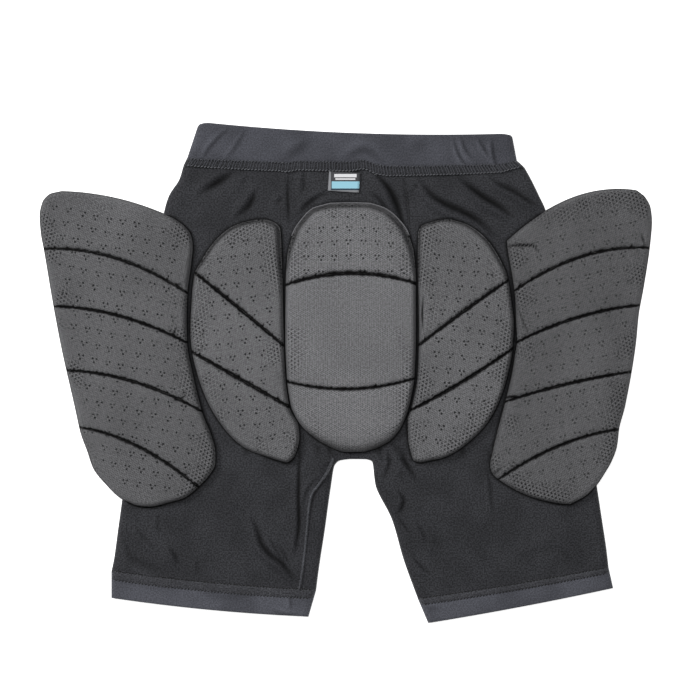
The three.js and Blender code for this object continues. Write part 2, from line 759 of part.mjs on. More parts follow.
function clothPanels() {
  const high = clothTop + 2 * foldHeight;
  const margin = sideFoldReach + 1;
  const front = prism(frontOutline(margin, 0), 0, clothWall);
  const frontSpace = prism(frontOutline(margin - pieceGap, pastEnd), -1, hollowHeight / 2);
  const back = garmentSolid(0).subtract(garmentSolid(clothWall)).subtract(frontSpace);
  const half = pieceGap / 2;
  const leftSide = [...leftBackSeam, ...leftInseam];
  const rightSide = [...rightBackSeam, ...rightInseam];
  const beside = (seam, side, shift) => prism(sideRegion(seam, side, shift), -1, high);
  const leftStrip = (grow) =>
    prism(innerLegRegion(leftBackSeam, leftInseam, leftGussetEnd, 1, grow), -1, high);
  const rightStrip = (grow) =>
    prism(innerLegRegion(rightBackSeam, rightInseam, rightGussetEnd, -1, grow), -1, high);
  const between = back
    .subtract(beside(leftSide, -1, half))
    .subtract(beside(rightSide, 1, -half));
  return {
    front,
    leftPanel: back.intersect(beside(leftSide, -1, -half)),
    rightPanel: back.intersect(beside(rightSide, 1, half)),
    centre: between.subtract(leftStrip(half)).subtract(rightStrip(half)),
    innerLeft: between.intersect(leftStrip(-half)),
    innerRight: between.intersect(rightStrip(-half)),
  };
}

// Bands
function sewnBand(lines, wall) {
  const high = clothTop + 2 * (wall - clothWall);
  return ring(lines, { wall, high, columns: evenColumns(lines, bandPitch) });
}

const waistSeamStart = movedLine(waistLine, pieceGap);
const waistSeamEnd = bandLine(waistSeamStart, waistSeamEdge, waistSeamHeight);
const waistSeam = () => sewnBand([waistSeamStart, waistSeamEnd], seamWall);

function hemBand(lines, edge) {
  const start = movedLine(lines.at(-1), -pieceGap);
  return sewnBand([start, bandLine(start, edge, hemHeight)], hemWall);
}

// The waistband has three columns at each gather, which lean as the gather does.
function waistband() {
  const start = movedLine(waistSeamEnd, pieceGap);
  const lines = [0, 0.3, 0.7, 1].map((share) =>
    bandLine(start, waistbandEdge, bandHeight, share),
  );
  const columns = gathers.flatMap(({ foot, lean, wide, tall }) =>
    [-1, 0, 1].map((flank) => ({
      share: foot + (flank * wide * foldHalfWidth) / lineWidth(start),
      lean,
      gather: flank === 0 ? tall * foldHeight : 0,
    })),
  );
  const filling = [0.21, 0.27, 0.42, 0.49, 0.67, 0.74].map((share) => ({ share, gather: 0 }));
  const lift = (p, column, line) =>
    column.gather * Math.sin(Math.PI * lerp(0.1, 0.9, (line.up ?? 0) / bandHeight));
  const high = clothTop + 2 * (bandWall - clothWall);
  const sorted = [...columns, ...filling].sort((a, b) => a.share - b.share);
  return ring(lines, { wall: bandWall, high, columns: sorted, lift });
}

// Pads
const alongEdge = (edge, down) => smoothAt(edge, down, "down", "x");

// A pad's x limits at a height of the pattern, to which a neighbour keeps its gap.
function padReach(pad, y, side) {
  const down = (pad.top - y) / pad.length;
  if (down < 0 || down > 1) return pad.centre;
  return pad.centre + alongEdge(pad.shape[side], down) * pad.width;
}

// One row of a pad's points, at a place between its channels.
function padRow(pad, place) {
  const channels = pad.shape.channels;
  const i = Math.min(Math.floor(place), channels.length - 2);
  const value = (key) => lerp(channels[i][key], channels[i + 1][key], place - i);
  const end = (side) => {
    const down = value(side);
    const y = pad.top - down * pad.length;
    const x = pad.centre + alongEdge(pad.shape[side], down) * pad.width;
    return new THREE.Vector2(pad.keepOff ? pad.keepOff(x, y, side) : x, y);
  };
  return { left: end("left"), right: end("right"), bow: value("bow") * pad.length };
}

function padSolid(pad) {
  const bays = pad.shape.channels.length - 1;
  const places = [];
  for (let bay = 0; bay < bays; bay++) {
    const list = bay === 0 ? firstRows : bay === bays - 1 ? lastRows : middleRows;
    places.push(...list.map((share) => bay + share));
  }
  const rows = [...places, bays].map((place) => padRow(pad, place));
  const channels = pad.shape.channels.slice(1, -1).map((_, i) => padRow(pad, i + 1));
  const depthOf = (row, share, p) => {
    const fromEnd = Math.min(
      pointOn(rows[0], share).distanceTo(p),
      pointOn(rows.at(-1), share).distanceTo(p),
    );
    const width = lineWidth(row);
    const fromRim = Math.min(share * width, (1 - share) * width, fromEnd);
    const off = channels.map((channel) => pointOn(channel, share).distanceTo(p));
    const open = quarter(Math.min(...off) / channelRound);
    return quarter(fromRim / rimRound) * (1 - channelDepthShare * (1 - open));
  };
  const upper = [];
  const lower = [];
  for (const row of rows) {
    const points = padColumns.map((share) => pointOn(row, share));
    const at = (p, z) => new THREE.Vector3(p.x, p.y, z);
    const height = (p, i) =>
      lerp(rimThickness, pad.thickness, depthOf(row, padColumns[i], p));
    upper.push(points.map((p, i) => at(p, pad.base(p) + height(p, i))));
    lower.push(points.map((p) => at(p, pad.base(p))));
  }
  return solidBetween(upper, lower, pad.underside.map((share) => padColumns.indexOf(share)));
}

const padSeat = clothTop + pieceGap;
const flatSeat = () => padSeat;

// The x of the garment's side at a height, from the body and leg tables.
function garmentSide(y, end) {
  const legLines = end === "left" ? leftLegLines : rightLegLines;
  const lines = [...bodyLines, ...legLines].map((line) => line[end]);
  const rows = lines
    .map((p) => ({ down: -p.y, x: p.x }))
    .sort((a, b) => a.down - b.down)
    .filter((row, i, all) => i === 0 || row.down > all[i - 1].down + 1);
  return smoothAt(rows, -y, "down", "x");
}

// A hip pad lies on the cloth, and past the garment's side it bends to the floor.
const drapedSeat = (end) => (p) => {
  const side = garmentSide(p.y, end);
  const past = end === "left" ? side - p.x : p.x - side;
  return padSeat * (1 - smoothStep((past - drapeStart) / drapeReach));
};

const tailbonePad = {
  shape: tailboneShape,
  centre: 0.5,
  top: -tailboneDrop,
  width: tailboneWidth,
  length: tailboneLength,
  thickness: tailboneThickness,
  base: flatSeat,
  underside: flatUnderside,
};

// A pad's side keeps its gap to the pad beside it.
const clearOf = (neighbour, side) => (x, y, own) => {
  if (own === side) return x;
  const limit = padReach(neighbour, y, side);
  if (limit === neighbour.centre) return x;
  return side === "left" ? Math.min(x, limit - padGap) : Math.max(x, limit + padGap);
};

const buttockPad = (shape, side, tuck) => {
  const sign = side === "left" ? -1 : 1;
  return {
    shape,
    centre: tailbonePad.centre + sign * (tailboneWidth / 2 + tuck * buttockWidth),
    top: -buttockDrop,
    width: buttockWidth,
    length: buttockLength,
    thickness: buttockThickness,
    base: flatSeat,
    underside: flatUnderside,
    keepOff: clearOf(tailbonePad, side),
  };
};
const leftButtockPad = buttockPad(leftButtockShape, "left", 0.355);
const rightButtockPad = buttockPad(rightButtockShape, "right", 0.395);

const hipPad = (shape, side, neighbour, tuck) => {
  const sign = side === "left" ? -1 : 1;
  return {
    shape,
    centre: neighbour.centre + sign * (buttockWidth / 2 + tuck * hipPadWidth),
    top: -hipPadDrop,
    width: hipPadWidth,
    length: hipPadLength,
    thickness: hipPadThickness,
    base: drapedSeat(side),
    underside: drapedUnderside,
    keepOff: clearOf(neighbour, side),
  };
};
const leftHipPad = hipPad(leftHipShape, "left", leftButtockPad, 0.363);
const rightHipPad = hipPad(rightHipShape, "right", rightButtockPad, 0.323);

// A woven label, hung from the waist seam and lying on the centre panel.
function sizeLabel() {
  const columns = [-0.5, -0.2, 0.2, 0.5];
  const rows = [0, 0.3, 0.7, 1];
  const top = pointOn(waistLine, 0.475);
  const curl = (share) => 1.6 * share ** 2;
  const grid = (height) =>
    rows.map((down) =>
      columns.map((across) => {
        const p = new THREE.Vector2(across * labelWidth, -down * labelLength);
        p.rotateAround(new THREE.Vector2(), labelTilt);
        const y = top.y - pieceGap - 0.6 + p.y;
        return new THREE.Vector3(top.x + p.x, y, padSeat + curl(down) + height);
      }),
    );
  return solidBetween(grid(labelThickness), grid(0));
}

// Materials
const finish = (color, roughness) =>
  new THREE.MeshStandardMaterial({ color, roughness, metalness: 0 });
const jersey = finish("#2f2f32", 0.85);
const bandKnit = finish("#47484d", 0.85);
const overlock = finish("#3c3d42", 0.9);
const meshCover = finish("#5f5f61", 0.8);
const wovenLabel = finish("#7d8a90", 0.6);

const shorts = new THREE.Group();
const panels = clothPanels();
shorts.add(
  meshOf("front_panel", panels.front, jersey),
  meshOf("back_centre_panel", panels.centre, jersey),
  meshOf("left_leg_panel", panels.leftPanel, jersey),
  meshOf("right_leg_panel", panels.rightPanel, jersey),
  meshOf("left_inner_leg_panel", panels.innerLeft, jersey),
  meshOf("right_inner_leg_panel", panels.innerRight, jersey),
  meshOf("waist_seam", waistSeam(), overlock),
  meshOf("waistband", waistband(), bandKnit),
  meshOf("left_hem_band", hemBand(leftLegLines, leftHemEdge), bandKnit),
  meshOf("right_hem_band", hemBand(rightLegLines, rightHemEdge), bandKnit),
  meshOf("tailbone_pad", padSolid(tailbonePad), meshCover),
  meshOf("left_buttock_pad", padSolid(leftButtockPad), meshCover),
  meshOf("right_buttock_pad", padSolid(rightButtockPad), meshCover),
  meshOf("left_hip_pad", padSolid(leftHipPad), meshCover),
  meshOf("right_hip_pad", padSolid(rightHipPad), meshCover),
  meshOf("size_label", sizeLabel(), wovenLabel),
);

const bounds = new THREE.Box3().setFromObject(shorts);
const middle = bounds.getCenter(new THREE.Vector3());
shorts.position.set(-middle.x, -middle.y, -bounds.min.z);

export default shorts;
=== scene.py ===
"""Padded protection shorts, inside out and lying flat with the back up.

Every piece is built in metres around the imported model: x across the shorts, y up
towards the waist and z up from the surface that they lie on.
"""

import json
import math

import bpy
import numpy as np
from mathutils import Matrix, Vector

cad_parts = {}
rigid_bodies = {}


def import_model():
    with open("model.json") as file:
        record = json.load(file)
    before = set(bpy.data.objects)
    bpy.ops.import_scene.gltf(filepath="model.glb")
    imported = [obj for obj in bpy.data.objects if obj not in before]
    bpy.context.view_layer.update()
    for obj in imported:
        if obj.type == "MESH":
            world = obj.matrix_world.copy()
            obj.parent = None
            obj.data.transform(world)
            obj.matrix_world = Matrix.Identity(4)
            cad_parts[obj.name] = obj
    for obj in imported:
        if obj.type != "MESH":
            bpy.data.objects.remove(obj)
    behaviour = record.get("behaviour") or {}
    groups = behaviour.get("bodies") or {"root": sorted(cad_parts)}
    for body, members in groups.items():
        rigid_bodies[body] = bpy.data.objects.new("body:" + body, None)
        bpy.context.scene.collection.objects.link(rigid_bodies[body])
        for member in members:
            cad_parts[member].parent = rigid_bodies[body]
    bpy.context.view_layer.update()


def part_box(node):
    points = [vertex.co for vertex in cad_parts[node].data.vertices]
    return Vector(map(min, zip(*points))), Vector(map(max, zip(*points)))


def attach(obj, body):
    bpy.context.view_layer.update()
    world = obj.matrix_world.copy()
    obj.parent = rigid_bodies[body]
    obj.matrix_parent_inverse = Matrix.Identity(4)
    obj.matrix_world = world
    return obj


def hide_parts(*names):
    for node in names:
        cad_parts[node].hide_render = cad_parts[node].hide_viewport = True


MM = 0.001
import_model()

# Garment, as in the CAD model
HIP_HALF = 231.5 * MM
BODY_LENGTH = 289 * MM
LEG_LENGTH = 132 * MM
TAILBONE_DROP = 35 * MM
SIDE_FOLD = 7 * MM
CLOTH_WALL = 1.2 * MM
BAND_WALL = 2.2 * MM
SEAM_WALL = 2.4 * MM
HEM_WALL = 1.6 * MM

# Cloth: its mesh, and where the hip pads hang down beside it
DRAPE_START = 18 * MM
DRAPE_REACH = 60 * MM
CROTCH_OPENING = 16 * MM
TRUNK_PITCH = 2.1 * MM
LEG_PITCH = 1.9 * MM
CLOTH_COLUMNS = 140
EDGE_REACH = 6 * MM
FOLD_ANGLES = np.radians([0, 15, 32, 50, 70, 90, 110, 130, 148, 165, 180])

# Pads
RIM_WIDTH = 1.1 * MM
RIM_THICKNESS = 2.6 * MM
SHOULDER = 4.5 * MM
CHANNEL_HALF_WIDTH = 5.2 * MM
CHANNEL_DEPTH = 0.62
PUCKER_REACH = 8 * MM
PUCKER_HEIGHT = 1 * MM
RIM_PUCKER_REACH = 7 * MM
CROWN_REACH = 38 * MM
SWELL_HEIGHT = 0.25 * MM
SWELL_LENGTH = 45 * MM
FLANGE_START = 75 * MM
FLANGE_FADE = 40 * MM
TOE_START = 34 * MM
TOE_FADE = 30 * MM
THREAD_RADIUS = 0.45 * MM
PIPED_LENGTH = 34 * MM
PAD_ROWS_PER_BAY = 30
PAD_COLUMNS = 78

# Cover and cloth patterns
MESH_PITCH = 2.1 * MM
OPEN_MESH_PITCH = 3.9 * MM
CLUSTER_PITCH = 14 * MM
CLUSTER_DRIFT = 8 * MM
DOT_RADIUS = 0.95 * MM
DOT_OFFSETS = ((0, 2.1 * MM), (-2 * MM, -1.4 * MM), (2.1 * MM, -1.2 * MM))
STITCH_PITCH = 3 * MM
STITCH_ARCH = 0.5 * MM
# How far the shadow painted on the cloth round the pads' rims reaches
PAD_SHADOW_REACH = 1.5 * MM

# Label
LABEL_TILT = math.radians(-4)
LABEL_THICKNESS = 0.9 * MM
LABEL_LIFT = 1.6 * MM
LABEL_POINTS = 12

# Camera and light
CAMERA_HEIGHT = 3.4
PHOTO_WIDTH = 0.70
PHOTO_LEVEL = 12 * MM
PHOTO_CENTRE = (4.25 * MM, 22.5 * MM)
IMAGE_SIZE = 700
SENSOR_WIDTH = 36
FLOOR_REACH = 6.0
FLOOR_GLOW = 0.75
KEY_PLACE = (-1.8, 1.1, 2)
KEY_SIZE, KEY_POWER = 0.6, 43
OVERHEAD_PLACE = (-0.3, 0.5, 3.0)
OVERHEAD_SIZE, OVERHEAD_POWER = 1.0, 44
WORLD_GLOW = 0.29

tail_low, tail_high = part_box("tailbone_pad")
WAIST_Y = tail_high.y + TAILBONE_DROP
MIDDLE_X = (tail_low.x + tail_high.x) / 2 - 0.5 * MM
CLOTH_TOP = tail_low.z - 0.3 * MM
SEAT = CLOTH_TOP + 0.3 * MM

# Rows across the cloth: left x, left y, right x, right y and bow of the middle. x is
# in shares of HIP_HALF from the middle, y in shares of BODY_LENGTH from the waist
# seam, or on the legs in shares of LEG_LENGTH from the crotch.
BODY_ROWS = (
    (-0.722, 0.01, 0.757, 0.003, -0.021),
    (-0.739, -0.035, 0.785, -0.038, -0.015),
    (-0.784, -0.093, 0.818, -0.093, -0.007),
    (-0.806, -0.152, 0.85, -0.152, 0),
    (-0.834, -0.315, 0.886, -0.315, 0),
    (-0.868, -0.52, 0.933, -0.52, 0),
    (-0.905, -0.73, 0.985, -0.73, 0),
    (-0.942, -0.965, 1.039, -0.965, 0),
)
LEFT_LEG_ROWS = (
    (-0.951, 0, 0.0, -0.013, 0),
    (-0.956, -0.03, -0.042, -0.024, 0),
    (-0.966, -0.091, -0.066, -0.06, 0),
    (-0.986, -0.318, -0.086, -0.258, 0),
    (-1.004, -0.545, -0.11, -0.561, 0),
    (-1.022, -0.773, -0.134, -0.833, -0.01),
    (-1.033, -0.864, -0.147, -1.008, -0.02),
)
RIGHT_LEG_ROWS = (
    (0.0, -0.013, 1.047, 0, 0),
    (0.055, -0.014, 1.05, -0.03, 0),
    (0.094, -0.03, 1.056, -0.091, 0),
    (0.11, -0.212, 1.071, -0.25, 0),
    (0.182, -0.477, 1.091, -0.48, 0),
    (0.231, -0.773, 1.11, -0.7, -0.005),
    (0.294, -1.076, 1.119, -0.837, -0.01),
)

# Far edges of the bands, in shares of each band's height: the same five columns.
BANDS = {
    "waist_seam": (0.45, 0.94, -1, 0.94, 0.3),
    "waistband": (0.33, 0.99, -0.14, 0.73, -0.05),
    "left_hem_band": (0, -1.05, -0.3, -1.04, 0),
    "right_hem_band": (0.4, -0.94, 0.18, -0.8, 0),
}
WAIST_SEAM_HEIGHT = 8 * MM
BAND_HEIGHT = 37 * MM
HEM_HEIGHT = 25 * MM
HEM_SEAM_SHARE = {"left": 0.32, "right": 0.25}
HEM_SEAM_START = 0.7 * MM
SEAM_GAP = 0.3 * MM
BAND_OVERLAP = 0.5 * MM
CORNER_SHARE = 0.13

# Folds of the cloth: points (mm to the right of the middle, mm below the waist) along
# the bottom of each, its half width and height in mm, and how dark it is: how much
# shade is painted along its bottom, with a painted highlight along its ridge.
FOLDS = (
    (((-116, 3), (-132, 14), (-149, 24)), 3.6, 3.5, 1),
    (((-94, 22), (-100, 36), (-113, 48)), 3.1, 3, 0.95),
    (((-103, 9), (-108, 15)), 1.8, 1, 0.3),
    (((-64, 26), (-71, 32), (-75, 35)), 1.7, 1.2, 0.55),
    (((-46, 3), (-46, 16), (-49, 25)), 2.4, 1.5, 0.5),
    (((-22, 23), (-40, 34), (-50, 44)), 2.2, 2.5, 0.75),
    (((-42, 48), (-25, 38), (-5, 34), (12, 33)), 2.4, 1.2, 0.85),
    (((22, 1), (32, 9), (40, 21), (47, 36), (52, 51), (58, 66)), 3.6, 3.5, 1.15),
    (((21, 24), (30, 31), (38, 43), (50, 63)), 2.4, 1.5, 0.8),
    (((64, 13), (68, 19)), 3, 1, 0.6),
    (((72, 11), (82, 26), (97, 36), (113, 43), (130, 53), (146, 67)), 3.9, 4, 1.15),
    (((111, 8), (122, 19), (135, 29), (150, 38), (164, 49)), 3.5, 4, 1.1),
    (((142, 8), (150, 15), (165, 23), (180, 33), (191, 39)), 2.8, 3, 0.8),
    (((-98, 350), (-93, 361), (-88, 376), (-80, 386), (-68, 395), (-61, 404), (-53, 414)),
     2.8, 3.5, 1),
    (((-80, 371), (-75, 380), (-70, 388), (-63, 398)), 1.9, 1.5, 0.6),
    (((-73, 376), (-65, 388), (-60, 397)), 1.8, 1.2, 0.5),
    (((-57, 372), (-51, 380)), 2, 1.2, 0.8),
    (((-118, 336), (-107, 343), (-98, 350)), 2.4, 1, 0.25),
    (((-215, 359), (-203, 373), (-190, 384)), 2.2, 1.6, 0.35),
    (((-225, 376), (-217, 391), (-200, 399), (-185, 404)), 4, 1.8, 0.4),
    (((-182, 378), (-175, 387), (-172, 396)), 2.2, 2, 0.6),
    (((-191, 344), (-192, 359), (-190, 366)), 1.8, 0.8, 0.35),
    (((-153, 391), (-152, 406)), 1.8, 0.8, 0.25),
    (((-49, 266), (-51, 300), (-51.5, 328), (-51, 352), (-53, 372), (-56, 388)), 2, 1.6, 1.2),
    (((-62, 6), (-62.5, 24), (-62, 40), (-61, 56)), 1.8, 0.6, 0.9),
    (((57, 66), (58, 48), (56, 30), (53, 8)), 1.8, 0.5, 0.5),
    (((-31, 309), (-42, 321), (-48, 340)), 1.8, 1, 0.65),
    (((-17, 303), (-31, 318), (-37, 331), (-41, 355)), 1.8, 0.8, 0.6),
    (((-38, 274), (-28, 281), (-12, 283)), 1.9, 1, 0.7),
    (((37, 281), (40, 293), (35, 306), (33, 311)), 1.9, 2, 0.65),
    (((38, 274), (48, 281), (55, 293), (60, 301), (68, 313)), 2.8, 2.5, 0.95),
    (((51, 299), (52, 310)), 1.8, 1, 0.35),
    (((48, 322), (54, 332), (51, 341), (45, 347)), 2, 2.4, 0.85),
    (((46, 348), (53, 356), (61, 366)), 1.8, 2, 0.55),
    (((65, 353), (73, 364), (77, 376)), 1.8, 1.2, 0.3),
    (((62, 389), (70, 397), (82, 407)), 2.2, 2, 0.55),
    (((137, 301), (140, 316), (142, 336), (143, 345)), 1.7, 1, 0.5),
    (((80, 370), (92, 378)), 4, 1, 0.25),
    (((180, 386), (205, 380), (225, 392)), 5, 1, 0.2),
)
# Gathers of the waistband, in the same columns as FOLDS: painted shade along each bottom and a
# painted highlight along each ridge.
BAND_FOLDS = (
    (((-149, -8), (-137, -24), (-120, -41)), 1.9, 1.3, 0.45),
    (((-125, -8), (-113, -22), (-104, -38)), 1.9, 1, 0.3),
    (((-66, -8), (-52, -17), (-40, -26)), 4.5, 1.4, 0.3),
    (((-4, -10), (14, -17), (34, -9)), 4, 1.2, 0.35),
    (((60, -20), (78, -24)), 6, 0.9, 0.2),
    (((103, -30), (110, -14), (118, -5)), 1.6, 1.2, 0.5),
    (((111, -33), (116, -20), (124, -11)), 2, 1.5, 0.45),
    (((127, -33), (135, -20), (143, -10)), 1.7, 1.2, 0.4),
    (((142, -30), (144, -15), (148, -4)), 1.9, 1.6, 0.6),
)

# Small folds of the hems, in the same columns as FOLDS, with their painted shade and painted
# highlight.
HEM_FOLDS = (
    (((-60, 424), (-59, 443)), 1.6, 0.5, 0.45),
    (((-78, 441), (-66, 446), (-50, 447)), 1.8, 0.8, 0.4),
    (((-150, 424), (-125, 428), (-95, 427)), 5, 0.8, 0.3),
    (((-215, 412), (-190, 419), (-172, 417)), 5, 0.6, 0.2),
    (((75, 441), (92, 440)), 3, 0.6, 0.3),
    (((150, 424), (190, 414)), 4, 0.6, 0.2),
)

# Raised seams of the back cloth: points in shares as in BODY_ROWS, half width, height.
SEAMS = {
    "left_inseam": (
        ((-0.072, -1.003), (-0.098, -1.05), (-0.138, -1.097), (-0.168, -1.132),
         (-0.178, -1.177), (-0.192, -1.295), (-0.21, -1.415), (-0.219, -1.457)),
        1.5 * MM, 2.4 * MM,
    ),
    "right_back_seam": (
        ((0.23, -0.035), (0.247, -0.095), (0.256, -0.175), (0.258, -0.225)),
        0.8 * MM, 0.5 * MM,
    ),
}

# The waist seam lies wavy: (mm to the right of the middle, mm above its even line).
SEAM_WAVE = (
    (-168, 0), (-150, -0.8), (-72, -0.8), (-64, -1.6), (-52, 0.8), (0, 0.8), (12, 2.8),
    (28, -2.6), (40, -4.4), (70, -4.2), (150, -4.2), (160, -2), (170, 0),
)
SEAM_WAVE_REACH = 15 * MM

# Creases of the pad covers: points as in FOLDS, half width in mm, and how deep, which
# sets both the dip of the cover and the shade painted along the crease.
CREASES = {
    "left_hip_pad": (
        (((-186, 112), (-176, 116), (-167, 115)), 1, 0.9),
        (((-182, 168), (-176, 165), (-173, 158)), 1, 0.8),
        (((-177, 232), (-170, 231), (-163, 225)), 1, 0.9),
        (((-168, 310), (-159, 302)), 1, 0.6),
        (((-163, 90), (-167, 120), (-167, 150)), 1.2, 0.3),
    ),
    "left_buttock_pad": (
        (((-157, 131), (-153, 150), (-158, 168)), 1.2, 0.4),
        (((-74, 194), (-69, 210), (-64, 226)), 1.2, 0.35),
        (((-158, 180), (-150, 182), (-145, 178)), 1.2, 0.5),
    ),
    "tailbone_pad": (
        (((-63, 216), (-55, 222)), 1.2, 0.4),
        (((60, 122), (62, 150), (61, 185)), 1.4, 0.25),
    ),
    "right_buttock_pad": (
        (((73, 126), (72, 146), (73, 163)), 1.1, 0.75),
        (((71, 235), (78, 228), (88, 226)), 1.2, 0.4),
    ),
    "right_hip_pad": (
        (((154, 79), (168, 77), (181, 77), (190, 86)), 1.5, 0.9),
        (((164, 112), (173, 115)), 1.1, 0.6),
        (((165, 134), (172, 151), (178, 167)), 1.2, 0.6),
        (((291, 64), (295, 77)), 1.3, 0.7),
        (((284, 75), (294, 90)), 1.2, 0.35),
        (((141, 307), (153, 298)), 1.2, 0.7),
        (((150, 231), (162, 228), (172, 229)), 1.6, 0.8),
        (((166, 240), (172, 234)), 1.1, 0.4),
    ),
}

# Pads. Each side lists (place down the pad, x), in shares of its length and width
# from its middle. Each channel lists its two ends down the sides and its bow. A flange
# is the flat edge round the upper end, a toe the long slope of the lower end, and
# weight says how heavy each inner channel's line is.
TAILBONE = {
    "left": (
        (0, -0.155), (0.02, -0.285), (0.057, -0.36), (0.113, -0.432), (0.2, -0.481),
        (0.32, -0.496), (0.53, -0.5), (0.69, -0.489), (0.81, -0.458), (0.89, -0.383),
        (0.95, -0.258), (0.985, -0.14), (1, -0.065),
    ),
    "right": (
        (0, 0.15), (0.02, 0.262), (0.057, 0.352), (0.113, 0.432), (0.2, 0.485),
        (0.32, 0.5), (0.53, 0.5), (0.69, 0.49), (0.81, 0.45), (0.89, 0.397),
        (0.95, 0.315), (0.985, 0.2), (1, 0.11),
    ),
    "channels": (
        (0, 0, 0.002), (0.329, 0.323, 0.045), (0.715, 0.702, -0.037), (1, 1, -0.002),
    ),
    "tilt": 0, "seed": 11, "tone": 0.162, "open_mesh": 0.85,
    "punched": (1, 0, 0),
    "flange": 3.4 * MM,
    "weight": (1.35, 1),
    "toe": 18 * MM,
}
LEFT_BUTTOCK = {
    "left": (
        (0, 0.1), (0.01, -0.01), (0.041, -0.162), (0.107, -0.311), (0.176, -0.409),
        (0.23, -0.468), (0.336, -0.491), (0.463, -0.503), (0.541, -0.488),
        (0.623, -0.448), (0.746, -0.351), (0.861, -0.194), (0.943, 0),
        (0.977, 0.196), (1, 0.36),
    ),
    "right": (
        (0, 0.2), (0.01, 0.262), (0.036, 0.323), (0.107, 0.336), (0.53, 0.36),
        (0.64, 0.372), (0.775, 0.412), (0.844, 0.489), (0.889, 0.5), (0.959, 0.47),
        (0.99, 0.425), (1, 0.39),
    ),
    "channels": (
        (0, 0, 0), (0.218, 0.522, 0.003), (0.543, 0.772, 0), (1, 1, 0),
    ),
    "tilt": 8, "seed": 23, "tone": 0.133,
    "flange": 2.4 * MM,
    "weight": (1.25, 1.3),
}
RIGHT_BUTTOCK = {
    "left": (
        (0, -0.176), (0.008, -0.248), (0.025, -0.356), (0.057, -0.388),
        (0.164, -0.392), (0.45, -0.383), (0.643, -0.396), (0.78, -0.455),
        (0.82, -0.486), (0.91, -0.476), (0.967, -0.45), (0.992, -0.428), (1, -0.383),
    ),
    "right": (
        (0, -0.077), (0.022, 0.071), (0.084, 0.247), (0.164, 0.364), (0.235, 0.432),
        (0.342, 0.471), (0.43, 0.491), (0.529, 0.481), (0.627, 0.442), (0.742, 0.364),
        (0.84, 0.247), (0.92, 0.071), (0.977, -0.124), (1, -0.347),
    ),
    "channels": (
        (0, 0, 0), (0.52, 0.25, 0.005), (0.785, 0.529, -0.012), (1, 1, 0),
    ),
    "tilt": -8, "seed": 37, "tone": 0.132,
    "flange": 1.4 * MM,
    "weight": (1.2, 1.2),
}
LEFT_HIP = {
    "left": (
        (0.005, -0.391), (0.014, -0.46), (0.042, -0.505), (0.083, -0.52),
        (0.137, -0.513), (0.19, -0.495), (0.37, -0.438), (0.51, -0.388),
        (0.69, -0.311), (0.769, -0.277), (0.823, -0.239), (0.88, -0.2),
        (0.93, -0.125), (0.975, -0.036), (0.995, 0.04),
    ),
    "right": (
        (0.089, 0.269), (0.12, 0.345), (0.145, 0.377), (0.18, 0.387), (0.24, 0.377),
        (0.322, 0.357), (0.406, 0.351), (0.488, 0.355), (0.556, 0.377),
        (0.707, 0.446), (0.776, 0.497), (0.831, 0.52), (0.864, 0.519), (0.9, 0.484),
        (0.94, 0.415), (0.974, 0.332), (0.992, 0.218),
    ),
    "channels": (
        (0.005, 0.092, 0.02), (0.188, 0.329, 0.041), (0.369, 0.485, 0.027),
        (0.571, 0.701, 0.03), (0.749, 0.938, 0.034), (0.995, 0.992, -0.008),
    ),
    "tilt": -12, "seed": 41, "tone": 0.111, "end": "left",
}
RIGHT_HIP = {
    "left": (
        (0.167, -0.383), (0.2, -0.376), (0.276, -0.351), (0.359, -0.332),
        (0.421, -0.329), (0.482, -0.323), (0.517, -0.332), (0.58, -0.351),
        (0.683, -0.396), (0.771, -0.44), (0.829, -0.465), (0.876, -0.481),
        (0.903, -0.465), (0.931, -0.402), (0.962, -0.3), (0.983, -0.2),
        (0.997, -0.085),
    ),
    "right": (
        (0.006, 0.39), (0.029, 0.441), (0.063, 0.472), (0.105, 0.48), (0.174, 0.47),
        (0.317, 0.43), (0.4, 0.402), (0.49, 0.385), (0.69, 0.318), (0.759, 0.283),
        (0.814, 0.27), (0.862, 0.238), (0.903, 0.194), (0.934, 0.156),
        (0.971, 0.092), (1, -0.003),
    ),
    "channels": (
        (0.167, 0.006, 0.056), (0.326, 0.189, 0.041), (0.488, 0.37, 0.021),
        (0.675, 0.58, 0.01), (0.92, 0.761, 0.027), (0.997, 1, 0),
    ),
    "tilt": 12, "seed": 59, "tone": 0.106, "end": "right", "hole_depth": 0.7,
}
PADS = {
    "tailbone_pad": TAILBONE,
    "left_buttock_pad": LEFT_BUTTOCK,
    "right_buttock_pad": RIGHT_BUTTOCK,
    "left_hip_pad": LEFT_HIP,
    "right_hip_pad": RIGHT_HIP,
}


# Curves and small sums
def smooth(table, at):
    """Values at places on a smooth curve through a table of (place, value)."""
    place, value = np.array(table, float).T
    step = np.diff(place)
    rise = np.diff(value) / step
    before, after = rise[:-1], rise[1:]
    total = np.where(before * after > 0, before + after, 1)
    inner = np.where(before * after > 0, 2 * before * after / total, 0)
    slope = np.concatenate([rise[:1], inner, rise[-1:]])
    at = np.clip(at, place[0], place[-1])
    i = np.clip(np.searchsorted(place, at, side="right") - 1, 0, len(place) - 2)
    t = (at - place[i]) / step[i]
    level = value[i] * (1 + 2 * t) * (1 - t) ** 2 + value[i + 1] * t**2 * (3 - 2 * t)
    return level + step[i] * (slope[i] * t * (1 - t) ** 2 - slope[i + 1] * t**2 * (1 - t))


def through(table, at):
    """Smooth curves through the rows of a table, which lie at 0, 1, 2 and so on."""
    columns = np.array(table, float).T
    return np.stack([smooth(list(enumerate(column)), at) for column in columns], -1)


def bell(share):
    """1 in the middle, and almost 0 from twice its reach outwards."""
    return np.exp(-(share**2))


def ease(share):
    share = np.clip(share, 0, 1)
    return share * share * (3 - 2 * share)


def quarter(share):
    """0 at an edge, and 1 from its reach inwards, along a quarter circle."""
    return np.sqrt(1 - (1 - np.clip(share, 0, 1)) ** 2)


